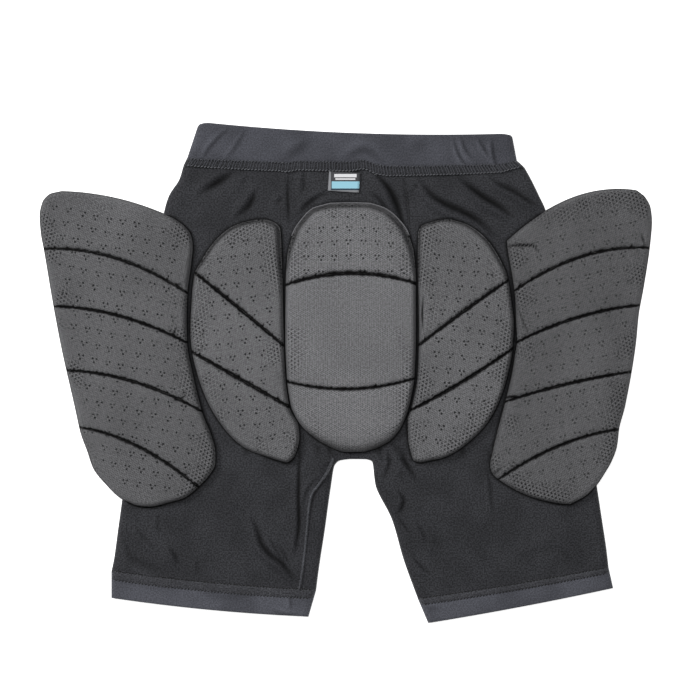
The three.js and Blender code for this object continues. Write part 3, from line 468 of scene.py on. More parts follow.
def to_line(points, line):
    """Distance of each point (..., 2) from a polyline, signed to its left, and the
    share of the way along it."""
    best = np.full(points.shape[:-1], 1e9)
    signed = np.zeros_like(best)
    along = np.zeros_like(best)
    count = len(line) - 1
    for i in range(count):
        start, way = line[i], line[i + 1] - line[i]
        length = max(float(way @ way), 1e-12)
        t = np.clip(((points - start) @ way) / length, 0, 1)
        off = points - start - t[..., None] * way
        distance = np.hypot(off[..., 0], off[..., 1])
        side = np.sign(way[0] * off[..., 1] - way[1] * off[..., 0])
        nearer = distance < best
        best = np.where(nearer, distance, best)
        signed = np.where(nearer, distance * side, signed)
        along = np.where(nearer, (i + t) / count, along)
    return signed, along


def waves(at, seed, lengths):
    """Uneven waves between about -1 and 1, with those wave lengths."""
    random = np.random.default_rng(seed)
    total = np.zeros_like(at)
    for length in lengths:
        phase = random.uniform(0, 2 * math.pi)
        total += np.sin(2 * math.pi * at / length + phase)
    return total / len(lengths)


def ripples(x, y, seed, length, count=9):
    """A gentle unevenness of a surface, between about -1 and 1."""
    random = np.random.default_rng(seed)
    total = np.zeros_like(x)
    for _ in range(count):
        turn, phase = random.uniform(0, 2 * math.pi, 2)
        pitch = length * random.uniform(0.6, 1.6)
        across = x * math.cos(turn) + y * math.sin(turn)
        total += np.sin(2 * math.pi * across / pitch + phase)
    return total / math.sqrt(count)


# Meshes
def placed(name, data):
    """A new object in the scene."""
    made = bpy.data.objects.new(name, data)
    bpy.context.scene.collection.objects.link(made)
    return made


def smooth_mesh(name, points, faces):
    mesh = bpy.data.meshes.new(name)
    mesh.from_pydata(points, [], faces)
    mesh.polygons.foreach_set("use_smooth", [True] * len(mesh.polygons))
    return mesh


def loft(name, loops, caps=True, uv=None, values=None):
    """A mesh through rows of points (rows, n, 3), each of which closes on itself."""
    rows, count = loops.shape[:2]
    index = np.arange(rows * count).reshape(rows, count)
    index = np.hstack([index, index[:, :1]])
    a, b = index[:-1, :-1], index[:-1, 1:]
    c, d = index[1:, 1:], index[1:, :-1]
    faces = np.stack([a, d, c, b], -1).reshape(-1, 4).tolist()
    if caps:
        faces.append(index[0, :count].tolist())
        faces.append(index[-1, :count][::-1].tolist())
    mesh = smooth_mesh(name, loops.reshape(-1, 3).tolist(), faces)
    if uv is not None:
        layer = mesh.uv_layers.new(name="pattern")
        corner = np.zeros(len(mesh.loops), np.int32)
        mesh.loops.foreach_get("vertex_index", corner)
        layer.data.foreach_set("uv", uv.reshape(-1, 2)[corner].ravel())
    for key, value in (values or {}).items():
        attribute = mesh.attributes.new(key, "FLOAT", "POINT")
        attribute.data.foreach_set("value", value.astype(np.float32).ravel())
    mesh.update()
    return placed(name, mesh)


def joined(name, parts):
    """One object made of several."""
    for other in bpy.context.view_layer.objects:
        other.select_set(False)
    for part in parts:
        part.select_set(True)
    bpy.context.view_layer.objects.active = parts[0]
    bpy.ops.object.join()
    piece = bpy.context.view_layer.objects.active
    piece.name = name
    piece.select_set(False)
    return piece


def tubes(name, lines, radius, sides=6):
    """Round threads along lines of points, as one mesh."""
    points, faces = [], []
    angles = np.arange(sides) * 2 * math.pi / sides
    up = np.array([0.0, 0.0, 1.0])
    for line in lines:
        way = np.gradient(line, axis=0)
        way /= np.maximum(np.linalg.norm(way, axis=1, keepdims=True), 1e-9)
        across = np.cross(way, up)
        across /= np.maximum(np.linalg.norm(across, axis=1, keepdims=True), 1e-9)
        over = np.cross(across, way)
        start = len(points)
        for p, s, o in zip(line, across, over):
            ring = p + radius * (np.outer(np.cos(angles), s) + np.outer(np.sin(angles), o))
            points.extend(ring.tolist())
        for i in range(len(line) - 1):
            for k in range(sides):
                a = start + i * sides + k
                b = start + i * sides + (k + 1) % sides
                faces.append((a, b, b + sides, a + sides))
        end = start + (len(line) - 1) * sides
        faces.append(tuple(range(start + sides - 1, start - 1, -1)))
        faces.append(tuple(range(end, end + sides)))
    return placed(name, smooth_mesh(name, points, faces))


def settle(piece, material, slot, nodes=()):
    """Gives a finished piece its material and its place in the frame."""
    piece.data.materials.clear()
    piece.data.materials.append(material)
    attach(piece, "root")
    if nodes:
        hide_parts(*nodes)
    return piece


# Rows of the pattern in metres
def in_metres(row, top, length):
    """A row of the pattern from its shares: x of HIP_HALF, and y of a length below top."""
    left_x, left_y, right_x, right_y, bow = row
    return np.array([
        MIDDLE_X + left_x * HIP_HALF, top + left_y * length,
        MIDDLE_X + right_x * HIP_HALF, top + right_y * length,
        bow * length,
    ])


def band_row(row, name, height, share=1.0):
    return row + np.array(BANDS[name]) * height * share


def higher(row, by):
    """A row moved up the garment."""
    return row + np.array([0, by, 0, by, 0])


def on_row(row, share):
    """Points (..., 2) on a row at shares of the way across it."""
    share = np.asarray(share)[..., None]
    bow = np.array([0, row[4]]) * 4 * share * (1 - share)
    return row[:2] + (row[2:4] - row[:2]) * share + bow


def row_width(row):
    return float(np.hypot(*(row[2:4] - row[:2])))


def finer(rows, pitch):
    """More rows between those of a table, about pitch apart."""
    middles = np.array([on_row(row, 0.5) for row in rows])
    places = [0.0]
    for i, gap in enumerate(np.hypot(*np.diff(middles, axis=0).T)):
        count = max(1, round(gap / pitch))
        places.extend(i + (k + 1) / count for k in range(count))
    return through(rows, np.array(places))


body_table = [in_metres(row, WAIST_Y, BODY_LENGTH) for row in BODY_ROWS]
leg_tables = {
    side: [in_metres(row, WAIST_Y - BODY_LENGTH, LEG_LENGTH) for row in rows]
    for side, rows in (("left", LEFT_LEG_ROWS), ("right", RIGHT_LEG_ROWS))
}
waist_row = body_table[0]


def garment_side(y, end):
    """x of the shorts' outer edge at a height."""
    pick = slice(0, 2) if end == "left" else slice(2, 4)
    points = sorted((tuple(row[pick]) for row in [*body_table, *leg_tables[end]]),
                    key=lambda p: -p[1])
    table = [(-p[1], p[0]) for p in points]
    kept = [table[0]]
    for entry in table[1:]:
        if entry[0] > kept[-1][0] + MM:
            kept.append(entry)
    return smooth(kept, -y)


# The back cloth
def on_garment(points):
    """Metres in the frame from mm to the right of the middle and below the waist."""
    x, y = through(points, np.linspace(0, len(points) - 1, 7 * len(points))).T
    return np.column_stack([MIDDLE_X + x * MM, WAIST_Y - y * MM])


def relief(points, folds):
    """Rise of folds at points (..., 2), and their painted shading: shade painted along the
    bottom of each fold, and a highlight painted on the ridge beside it, which lies on the
    side of the key light and whose darkness is below zero."""
    rise = np.zeros(points.shape[:-1])
    dark, light = np.zeros_like(rise), np.zeros_like(rise)
    for line, wide, tall, deep in folds:
        curve = on_garment(line)
        signed, along = to_line(points, curve)
        way = curve[-1] - curve[0]
        if way[1] * KEY_PLACE[0] < way[0] * KEY_PLACE[1]:
            signed = -signed
        taper = np.sin(np.pi * np.clip(along, 0.03, 0.97)) ** 0.6
        reach = wide * MM * (0.6 + 0.4 * taper)
        bottom = bell(signed / reach) * taper
        ridge = bell((signed + 1.9 * reach) / (1.3 * reach)) * taper
        rise += tall * MM * (ridge - 0.5 * bottom)
        # painted shade along the fold's bottom, painted highlight along its ridge
        dark = np.maximum(dark, deep * bottom)
        light = np.maximum(light, 0.6 * deep * ridge)
    dark = np.minimum(dark, 1)
    return rise, dark - light * (1 - dark)


def cloth_rise(points):
    """How far the back cloth stands off its level at points, and its painted shading: the
    shade and highlight painted on its folds, and a shadow painted round each pad's rim.
    """
    x, y = points[..., 0], points[..., 1]
    broad = 0.6 * MM * ripples(x, y, 3, 55 * MM) + 0.14 * MM * ripples(x, y, 4, 15 * MM)
    rise, dark = relief(points, FOLDS)
    # painted shadow on the cloth where it meets each pad's rim
    for rim in pad_rims:
        dark = np.maximum(dark, 0.95 * bell(to_line(points, rim)[0] / PAD_SHADOW_REACH))
    return broad + rise, dark


def waved(piece):
    """Moves a piece of the waist as the waist seam lies."""
    mesh = piece.data
    flat = np.zeros(len(mesh.vertices) * 3)
    mesh.vertices.foreach_get("co", flat)
    place = flat.reshape(-1, 3)
    middle = on_row(waist_row, (place[:, 0] - waist_row[0]) / (waist_row[2] - waist_row[0]))
    off = place[:, 1] - middle[:, 1] - WAIST_SEAM_HEIGHT / 2
    table = [(x * MM, y * MM) for x, y in SEAM_WAVE]
    wave = smooth(table, place[:, 0] - MIDDLE_X)
    place[:, 1] += wave * bell(off / SEAM_WAVE_REACH)
    mesh.vertices.foreach_set("co", place.ravel())
    mesh.update()
    return piece


def cloth_loft(name, loops, shade):
    """A sleeve of cloth, with its painted shading (the shade and highlight painted on its folds
    and the shadow painted round the pads) in its shade attribute.
    """
    return loft(name, loops, caps=False, uv=loops[..., :2].copy(), values={"shade": shade})


def half_shorts(side):
    """One side of the shorts: from its outer edge to the middle above the crotch, and
    to the leg's inner edge below it."""
    trunk = finer(body_table, TRUNK_PITCH)
    legs = finer(leg_tables[side], LEG_PITCH)
    outer_share = 0.0 if side == "left" else 1.0
    half = CLOTH_TOP / 2
    loops, tops, eases = [], [], []

    def side_fold(edge, way, reach, angles):
        bend = edge + way * reach * np.sin(angles)[:, None]
        return np.column_stack([bend, half + half * np.cos(angles)])

    for i, row in enumerate([*trunk, *legs]):
        width = row_width(row)
        past_crotch = (i - len(trunk)) * LEG_PITCH
        on_leg = past_crotch >= 0
        inner_share = 1 - outer_share if on_leg else (MIDDLE_X - row[0]) / (row[2] - row[0])
        inward = math.copysign(1, inner_share - outer_share)
        inner_fold = SIDE_FOLD * float(ease(past_crotch / CROTCH_OPENING)) + 1e-5
        start = outer_share + inward * SIDE_FOLD / width
        stop = inner_share - inward * inner_fold / width
        share = start + (stop - start) * np.linspace(0, 1, CLOTH_COLUMNS)
        top = on_row(row, share)
        way = inward * (row[2:4] - row[:2]) / width
        from_side = np.abs(share - start) * width
        if on_leg:
            opened = EDGE_REACH - min(past_crotch, EDGE_REACH)
            from_side = np.minimum(from_side, np.abs(share - stop) * width + opened)
        tops.append(top)
        eases.append(np.clip(from_side / EDGE_REACH, 0, 1))
        low = top[-1] + np.linspace(0, 1, 6)[1:, None] * (top[0] - top[-1])
        loops.append(np.concatenate([
            np.column_stack([top, np.full(len(top), CLOTH_TOP)]),
            side_fold(top[-1], way, inner_fold, FOLD_ANGLES[1:]),
            np.column_stack([low, np.full(5, 0.2 * MM)]),
            side_fold(top[0], -way, SIDE_FOLD, FOLD_ANGLES[::-1][1:-1]),
        ]))
    loops = np.array(loops)
    rise, dark = cloth_rise(np.array(tops))
    loops[:, :CLOTH_COLUMNS, 2] += rise * np.array(eases)
    # painted shading of the folds and painted shadow round the pads, on the cloth's top only
    shade = np.zeros(loops.shape[:2])
    shade[:, :CLOTH_COLUMNS] = dark
    if side == "right":
        loops, shade = loops[:, ::-1], shade[:, ::-1]
    return cloth_loft(f"{side}_half", loops, shade)


# Rings of cloth: the waistband, its seam and the hems
def ring(name, row, height, wall, pitch, steps, lift=None, bulge=0.0, corner=0.0):
    """A flattened ring from a row to its far edge, with its wall inside it."""
    shares = np.linspace(0, 1, steps + 1)
    rows = [band_row(row, name, height, share) for share in shares]
    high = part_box(name)[1].z if lift is None else CLOTH_TOP + 2 * (wall - CLOTH_WALL)
    outside = [(share, 0.0) for share in shares]
    sections = [*outside, (1.0, 0.5), *((share, 1.0) for share in shares[::-1])]
    loops, shades = [], []
    count = max(8, round(row_width(row) / pitch))
    turn = np.radians(np.linspace(0, 180, 13))[1:-1]
    for share, depth in sections:
        base = rows[round(share * steps)]
        width = row_width(base)
        inset = depth * wall
        edge = 0.35 * wall if share in (0.0, 1.0) and depth == 0 else 0
        rounding = corner * (1 - quarter((1 - share) / CORNER_SHARE))
        ends = (SIDE_FOLD + rounding) / width
        spread = np.linspace(ends, 1 - ends, count)
        top = on_row(base, spread)
        under = on_row(base, spread[::-1][:: max(1, count // 24)])
        half = high / 2 - inset - edge
        bend = (SIDE_FOLD - inset) * np.sin(turn)[:, None] * (base[2:4] - base[:2]) / width
        swell = bulge * math.sin(math.pi * share) if depth == 0 else 0
        raised, dark = (0, np.zeros(count)) if lift is None else lift(top, share)
        z_top = high / 2 + half + swell + raised
        loops.append(np.concatenate([
            np.column_stack([top, np.broadcast_to(z_top, spread.shape)]),
            np.column_stack([top[-1] + bend, high / 2 + half * np.cos(turn)]),
            np.column_stack([under, np.full(len(under), high / 2 - half)]),
            np.column_stack([top[0] - bend, high / 2 - half * np.cos(turn)]),
        ]))
        # painted shading of the ring's folds, on its outer face only
        shades.append(np.concatenate([dark * (depth == 0), np.zeros(len(loops[-1]) - count)]))
    loops, shades = np.array(loops), np.array(shades)
    if rows[-1][1] > rows[0][1]:
        loops, shades = loops[:, ::-1], shades[:, ::-1]
    return cloth_loft(name, loops, shades)


def gather_lift(top, share):
    """Height of the waistband's gathers along one row of it, and their painted shading:
    shade painted in the gathers and highlight painted on their ridges.
    """
    lift = 0.45 * MM * ripples(top[:, 0], top[:, 1], 5, 42 * MM)
    rise, dark = relief(top, BAND_FOLDS)
    fade = math.sin(math.pi * (0.12 + 0.76 * share))
    return (lift + rise) * fade, dark


def hem_lift(top, share):
    """Height of the hem's small folds along one row of it, and their painted shading:
    shade painted in the folds and highlight painted on their ridges.
    """
    rise, dark = relief(top, HEM_FOLDS)
    return 0.5 * rise * math.sin(math.pi * share), dark


def stitched(width):
    """The shares between which a seam's stitches lie, inside its side folds."""
    end = 0.6 * SIDE_FOLD / width
    return end, 1 - end


def at_side(row, share):
    """How far the cloth has turned down at its side folds."""
    from_end = np.minimum(share, 1 - share) * row_width(row)
    past = np.clip((SIDE_FOLD - from_end) / SIDE_FOLD, 0, 0.98)
    return 0.55 * CLOTH_TOP * (1 - np.sqrt(1 - past**2))


def ladder(name, low_row, high_row, level, radius):
    """Overlock stitches: slanted threads across a seam, from one row to another."""
    width = row_width(low_row)
    pitch = STITCH_PITCH / width
    count = round(width / STITCH_PITCH)
    lines = []
    random = np.random.default_rng(len(name))
    t = np.array([0.06, 0.3, 0.7, 0.94])[:, None]
    ends = np.linspace(*stitched(width), count) + random.normal(0, 0.15 * pitch, count)
    for share in ends:
        a = on_row(low_row, share)
        b = on_row(high_row, share + 0.5 * pitch)
        rise = level + np.array([0, 1, 1, 0]) * STITCH_ARCH - at_side(low_row, share)
        lines.append(np.column_stack([a + (b - a) * t, rise]))
    return tubes(name, lines, radius, 5)


def seam_strip(name, low_row, high_row, level, tall):
    """The rolled edge of cloth under a row of overlock stitches."""
    share = np.linspace(0.006, 0.994, round(row_width(low_row) / (1.5 * MM)))
    a, b = on_row(low_row, share), on_row(high_row, share)
    turn = np.radians(np.linspace(0, 180, 9))
    t = (0.5 - 0.5 * np.cos(turn))[:, None]
    sunk = 0.5 * MM
    foot = level - sunk - at_side(low_row, share)
    loops = np.array([
        np.column_stack([p + (q - p) * t, z + (tall + sunk) * np.sin(turn)])
        for p, q, z in zip(a, b, foot)
    ])
    return loft(name, loops, uv=loops[..., :2].copy())


def edge_thread(name, row, level, radius=0.5 * MM):
    """The looper thread along the edge of an overlock seam, as short slanted beads."""
    width = row_width(row)
    count = round(width / (1.15 * STITCH_PITCH))
    step = np.linspace(*stitched(width), count + 1)
    lines = []
    for a, b in zip(step[:-1], step[1:]):
        share = np.linspace(a, a + 0.62 * (b - a), 4)
        flat = on_row(row, share) + np.outer(np.linspace(-1, 1, 4), (0, 0.6 * MM))
        rise = level + np.array([0, 0.35, 0.35, 0]) * MM - at_side(row, share)
        lines.append(np.column_stack([flat, rise]))
    return tubes(name, lines, radius, 6)


def ridge(name, points, wide, tall):
    """A raised seam on the back cloth, with stitches across it."""
    x, y = through(points, np.linspace(0, len(points) - 1, 60)).T
    line = np.column_stack([MIDDLE_X + x * HIP_HALF, WAIST_Y + y * BODY_LENGTH])
    way = np.gradient(line, axis=0)
    way /= np.linalg.norm(way, axis=1, keepdims=True)
    side = np.column_stack([-way[:, 1], way[:, 0]])
    level = CLOTH_TOP + cloth_rise(line)[0]
    turn = np.radians(np.linspace(0, 180, 9))
    foot = 0.5 * MM + 0.75 * tall
    loops = np.array([
        np.column_stack([
            p + s * (wide * np.cos(turn))[:, None],
            z - foot + (tall + foot) * np.sin(turn),
        ])
        for p, s, z in zip(line, side, level)
    ])
    body = loft(name, loops, uv=loops[..., :2].copy())
    length = np.cumsum(np.hypot(*np.diff(line, axis=0).T))
    count = round(length[-1] / STITCH_PITCH)
    at = np.interp(np.linspace(0, length[-1], count), [0, *length], np.arange(len(line)))
    lines = []
    for k in at:
        i = min(int(k), len(line) - 2)
        p = line[i] + (line[i + 1] - line[i]) * (k - i)
        reach = np.array([-1, -0.4, 0.4, 1])[:, None] * wide * side[i]
        rise = level[i] + np.array([0, 0.95, 0.95, 0]) * tall
        lines.append(np.column_stack([p + reach + way[i] * 0.4 * MM, rise]))
    return body, tubes(name + "_stitches", lines, 0.32 * MM, 5)


# Pads
def pad_rows(shape, node, per_bay, columns):
    """Points (rows, columns, 2) of a pad, its channel lines, its rim, and 1 for the rows
    whose foam is punched with holes."""
    low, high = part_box(node)
    dense = np.linspace(0, 1, 400)
    left_all, right_all = smooth(shape["left"], dense), smooth(shape["right"], dense)
    down_low = min(shape["left"][0][0], shape["right"][0][0])
    down_high = max(shape["left"][-1][0], shape["right"][-1][0])
    x_low, x_high = left_all.min(), right_all.max()
    scale_x = (high.x - low.x) / (x_high - x_low)
    scale_y = (high.y - low.y) / (down_high - down_low)

    def place(down, side):
        x = smooth(shape[side], down)
        return np.stack([
            low.x + (x - x_low) * scale_x, high.y - (down - down_low) * scale_y,
        ], -1)

    table = np.array(shape["channels"], float)
    bays = len(table) - 1
    at = []
    for bay in range(bays):
        step = np.linspace(0, 1, per_bay, endpoint=False)
        squeezed = step - 0.1 * np.sin(2 * math.pi * step)
        if bay == 0:
            squeezed = 0.5 * squeezed + 0.5 * (1 - np.cos(step * math.pi / 2))
        elif bay == bays - 1:
            squeezed = 0.5 * squeezed + 0.5 * np.sin(step * math.pi / 2)
        at.extend(bay + squeezed)
    at = np.array([*at, bays])
    value = [np.interp(at, np.arange(bays + 1), table[:, k]) for k in range(3)]
    left, right = place(value[0], "left"), place(value[1], "right")
    even = np.linspace(-1, 1, columns)
    share = 0.5 + 0.5 * np.sign(even) * (1 - (1 - np.abs(even)) ** 1.25)
    points = left[:, None] + (right - left)[:, None] * share[:, None]
    points[..., 1] += (value[2] * scale_y)[:, None] * 4 * share * (1 - share)
    lines = []
    for k in range(1, bays):
        a, b = place(table[k, 0], "left"), place(table[k, 1], "right")
        t = np.linspace(0, 1, 40)[:, None]
        line = a + (b - a) * t
        line[:, 1] += table[k, 2] * scale_y * 4 * t[:, 0] * (1 - t[:, 0])
        lines.append(line)
    rim = np.concatenate([points[:, 0], points[-1], points[::-1, -1], points[0, ::-1]])
    bay = np.minimum(at.astype(int), bays - 1)
    return points, lines, rim, np.array(shape.get("punched", (1,) * bays))[bay]


def pad_seat(points, end):
    """The level under a pad, which sinks where the pad hangs over the cloth's edge, and
    1 where the pad lies on the cloth."""
    if end is None:
        return np.full(points.shape[:2], SEAT), np.ones(points.shape[:2])
    x, y = points[..., 0], points[..., 1]
    side = garment_side(y, end)
    past = side - x if end == "left" else x - side
    base = SEAT * (1 - ease((past - DRAPE_START) / DRAPE_REACH))
    return base, 1 - ease(past / EDGE_REACH + 1)


def channels(points, lines, weights, seed):
    """The share of the foam's height that the channels leave, the shade painted along
    their lines, and how the cover puckers beside them."""
    groove = np.ones(points.shape[:2])
    dark, pucker = np.zeros_like(groove), np.zeros_like(groove)
    for k, (line, weight) in enumerate(zip(lines, weights)):
        signed, along = to_line(points, line)
        run = along * np.hypot(*np.diff(line, axis=0).T).sum()
        uneven = waves(run, seed + k, (11 * MM, 17 * MM, 29 * MM))
        fine = waves(run, seed + 50 + k, (5 * MM, 7.5 * MM))
        creases = waves(run, seed + 70 + k, (4.1 * MM, 6.3 * MM, 15 * MM))
        above = signed > 0
        creases = np.clip(creases - 0.25, 0, 1) * above
        off = np.abs(signed + 0.35 * MM * fine)
        wide = CHANNEL_HALF_WIDTH * (1 + 0.3 * uneven * above + 0.12 * uneven)
        groove = np.minimum(groove, 1 - CHANNEL_DEPTH * (1 - quarter(off / wide)))
        middle = np.sin(np.pi * np.clip(along, 0, 1))
        drawn = (1.3 + 0.7 * middle + 0.4 * uneven + 2.4 * creases) * weight * MM
        # painted shade along the channel's groove
        dark = np.maximum(dark, bell(off / drawn))
        near = np.exp(-off / PUCKER_REACH) * (1 - np.exp(-off / (1.5 * MM)))
        pucker += near * (0.6 * uneven + 0.4 * fine - 1.1 * creases)
    return groove, dark, pucker


def pad_pattern(points, flat, rim, from_flange, thick, tilt):
    """Pattern coordinates of a pad, which run on down the sides of the foam."""
    slide = np.linspace(0, RIM_WIDTH + 3 * MM + SHOULDER, 60)
    slope = thick * quarter((slide - RIM_WIDTH) / SHOULDER)
    length = np.concatenate([[0], np.cumsum(np.hypot(np.diff(slide), np.diff(slope)))])
    extra_way = (length[-1] - length) - (slide[-1] - slide)
    outline = np.unique(rim.round(6), axis=0)
    nearest = [outline[np.argmin(((outline - p) ** 2).sum(1))] for p in points.reshape(-1, 2)]
    outward = np.reshape(nearest, points.shape) - points
    outward /= np.maximum(np.linalg.norm(outward, axis=-1, keepdims=True), 0.5 * MM)
    flat[:, : points.shape[1]] += outward * np.interp(from_flange, slide, extra_way)[..., None]
    turn = math.radians(tilt)
    return np.stack([
        flat[..., 0] * math.cos(turn) + flat[..., 1] * math.sin(turn),
        flat[..., 1] * math.cos(turn) - flat[..., 0] * math.sin(turn),
    ], -1)


def pad(node, shape):
    """A foam pad in its mesh cover, its stitched channels, and its points from above."""
    low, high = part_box(node)
    seed = shape["seed"]
    points, lines, rim, punched = pad_rows(shape, node, PAD_ROWS_PER_BAY, PAD_COLUMNS)
    x, y = points[..., 0], points[..., 1]
    base, over = pad_seat(points, shape.get("end"))
    thick = (high.z - SEAT) - RIM_THICKNESS
    to_rim = np.abs(to_line(points, rim)[0])
    upper = ease((y - high.y + FLANGE_START) / FLANGE_FADE)
    flange = RIM_WIDTH + shape.get("flange", 0) * upper
    lower = ease((low.y + TOE_START - y) / TOE_FADE)
    foam = np.clip((to_rim - flange) / (SHOULDER + shape.get("toe", 0) * lower), 0, 1)
    # painted shade on the pad's sloping sides, flange and toe: 1 on the top, lower towards the rim
    painted_side_shading = 0.35 + 0.65 * foam
    if "toe" in shape:
        painted_side_shading -= 0.35 * lower * (1 - foam)
    painted_side_shading[(foam <= 0) & (to_rim > RIM_WIDTH + 0.1 * MM)] = 0
    crown = quarter(foam) * (0.93 + 0.07 * ease(to_rim / CROWN_REACH))
    weights = shape.get("weight", (1,) * len(lines))
    groove, dark, pucker = channels(points, lines, weights, seed)
    for line, wide, deep in CREASES.get(node, ()):
        signed, along = to_line(points, on_garment(line))
        fade = np.sin(np.pi * np.clip(0.15 + 0.7 * along, 0, 1))
        # painted shade along the crease
        dark = np.maximum(dark, deep * fade * bell(signed / (1.2 * wide * MM)))
        pucker -= 1.2 * deep * fade * bell(signed / (2.4 * wide * MM))
    run = np.arctan2(y - y.mean(), x - x.mean()) * 120 * MM
    at_rim = np.exp(-to_rim / RIM_PUCKER_REACH)
    pucker += 0.6 * at_rim * foam * waves(run, seed + 90, (9 * MM, 13 * MM, 31 * MM))
    swell = SWELL_HEIGHT * ripples(x, y, seed, SWELL_LENGTH)
    pucker *= PUCKER_HEIGHT * np.minimum(1, foam * 3)
    rise = thick * crown * groove + pucker + swell * foam
    top = base + RIM_THICKNESS + np.maximum(rise, -0.3 * MM)
    bottom = np.dstack([points, base])[:, ::-1][:, ::7]
    loops = np.concatenate([np.dstack([points, top]), bottom], axis=1)
    from_flange = np.maximum(to_rim - flange + RIM_WIDTH, 0)
    flat = loops[..., :2].copy()
    uv = pad_pattern(points, flat, rim, from_flange, thick, shape["tilt"])
    punched = np.broadcast_to(punched[:, None], x.shape)
    # groove: painted shade of channels and creases; foam: painted shade of the sides; over: 1
    # where the rim sits on the cloth, for its painted shadow
    values = {
        "groove": dark, "rim": to_rim / MM, "punched": punched, "foam": painted_side_shading, "over": over,
    }
    unseen = np.zeros(bottom.shape[:2])
    cover = loft(node + "_cover", loops[:, ::-1], uv=uv[:, ::-1], values={
        key: np.concatenate([value, unseen], axis=1)[:, ::-1] for key, value in values.items()
    })
    threads = []
    for line in lines:
        inner = line[1:-1]
        near = [np.argmin(((points.reshape(-1, 2) - p) ** 2).sum(1)) for p in inner]
        rise = np.convolve(np.pad(top.ravel()[near], 2, mode="edge"), np.ones(5) / 5, "valid")
        threads.append(np.column_stack([inner, rise + 0.1 * MM]))
    return cover, tubes(node + "_stitching", threads, THREAD_RADIUS, 6), points


def piping(points):
    """The piped edge round the upper end of the tailbone pad."""
    near_top = points[:, 0, 1] > tail_high.y - PIPED_LENGTH
    flat = np.concatenate([points[near_top, 0][::-1], points[0, 1:-1], points[near_top, -1]])
    level = np.full(len(flat), SEAT + RIM_THICKNESS + 0.1 * MM)
    return tubes("tailbone_piping", [np.column_stack([flat, level])], 0.5 * MM, 6)


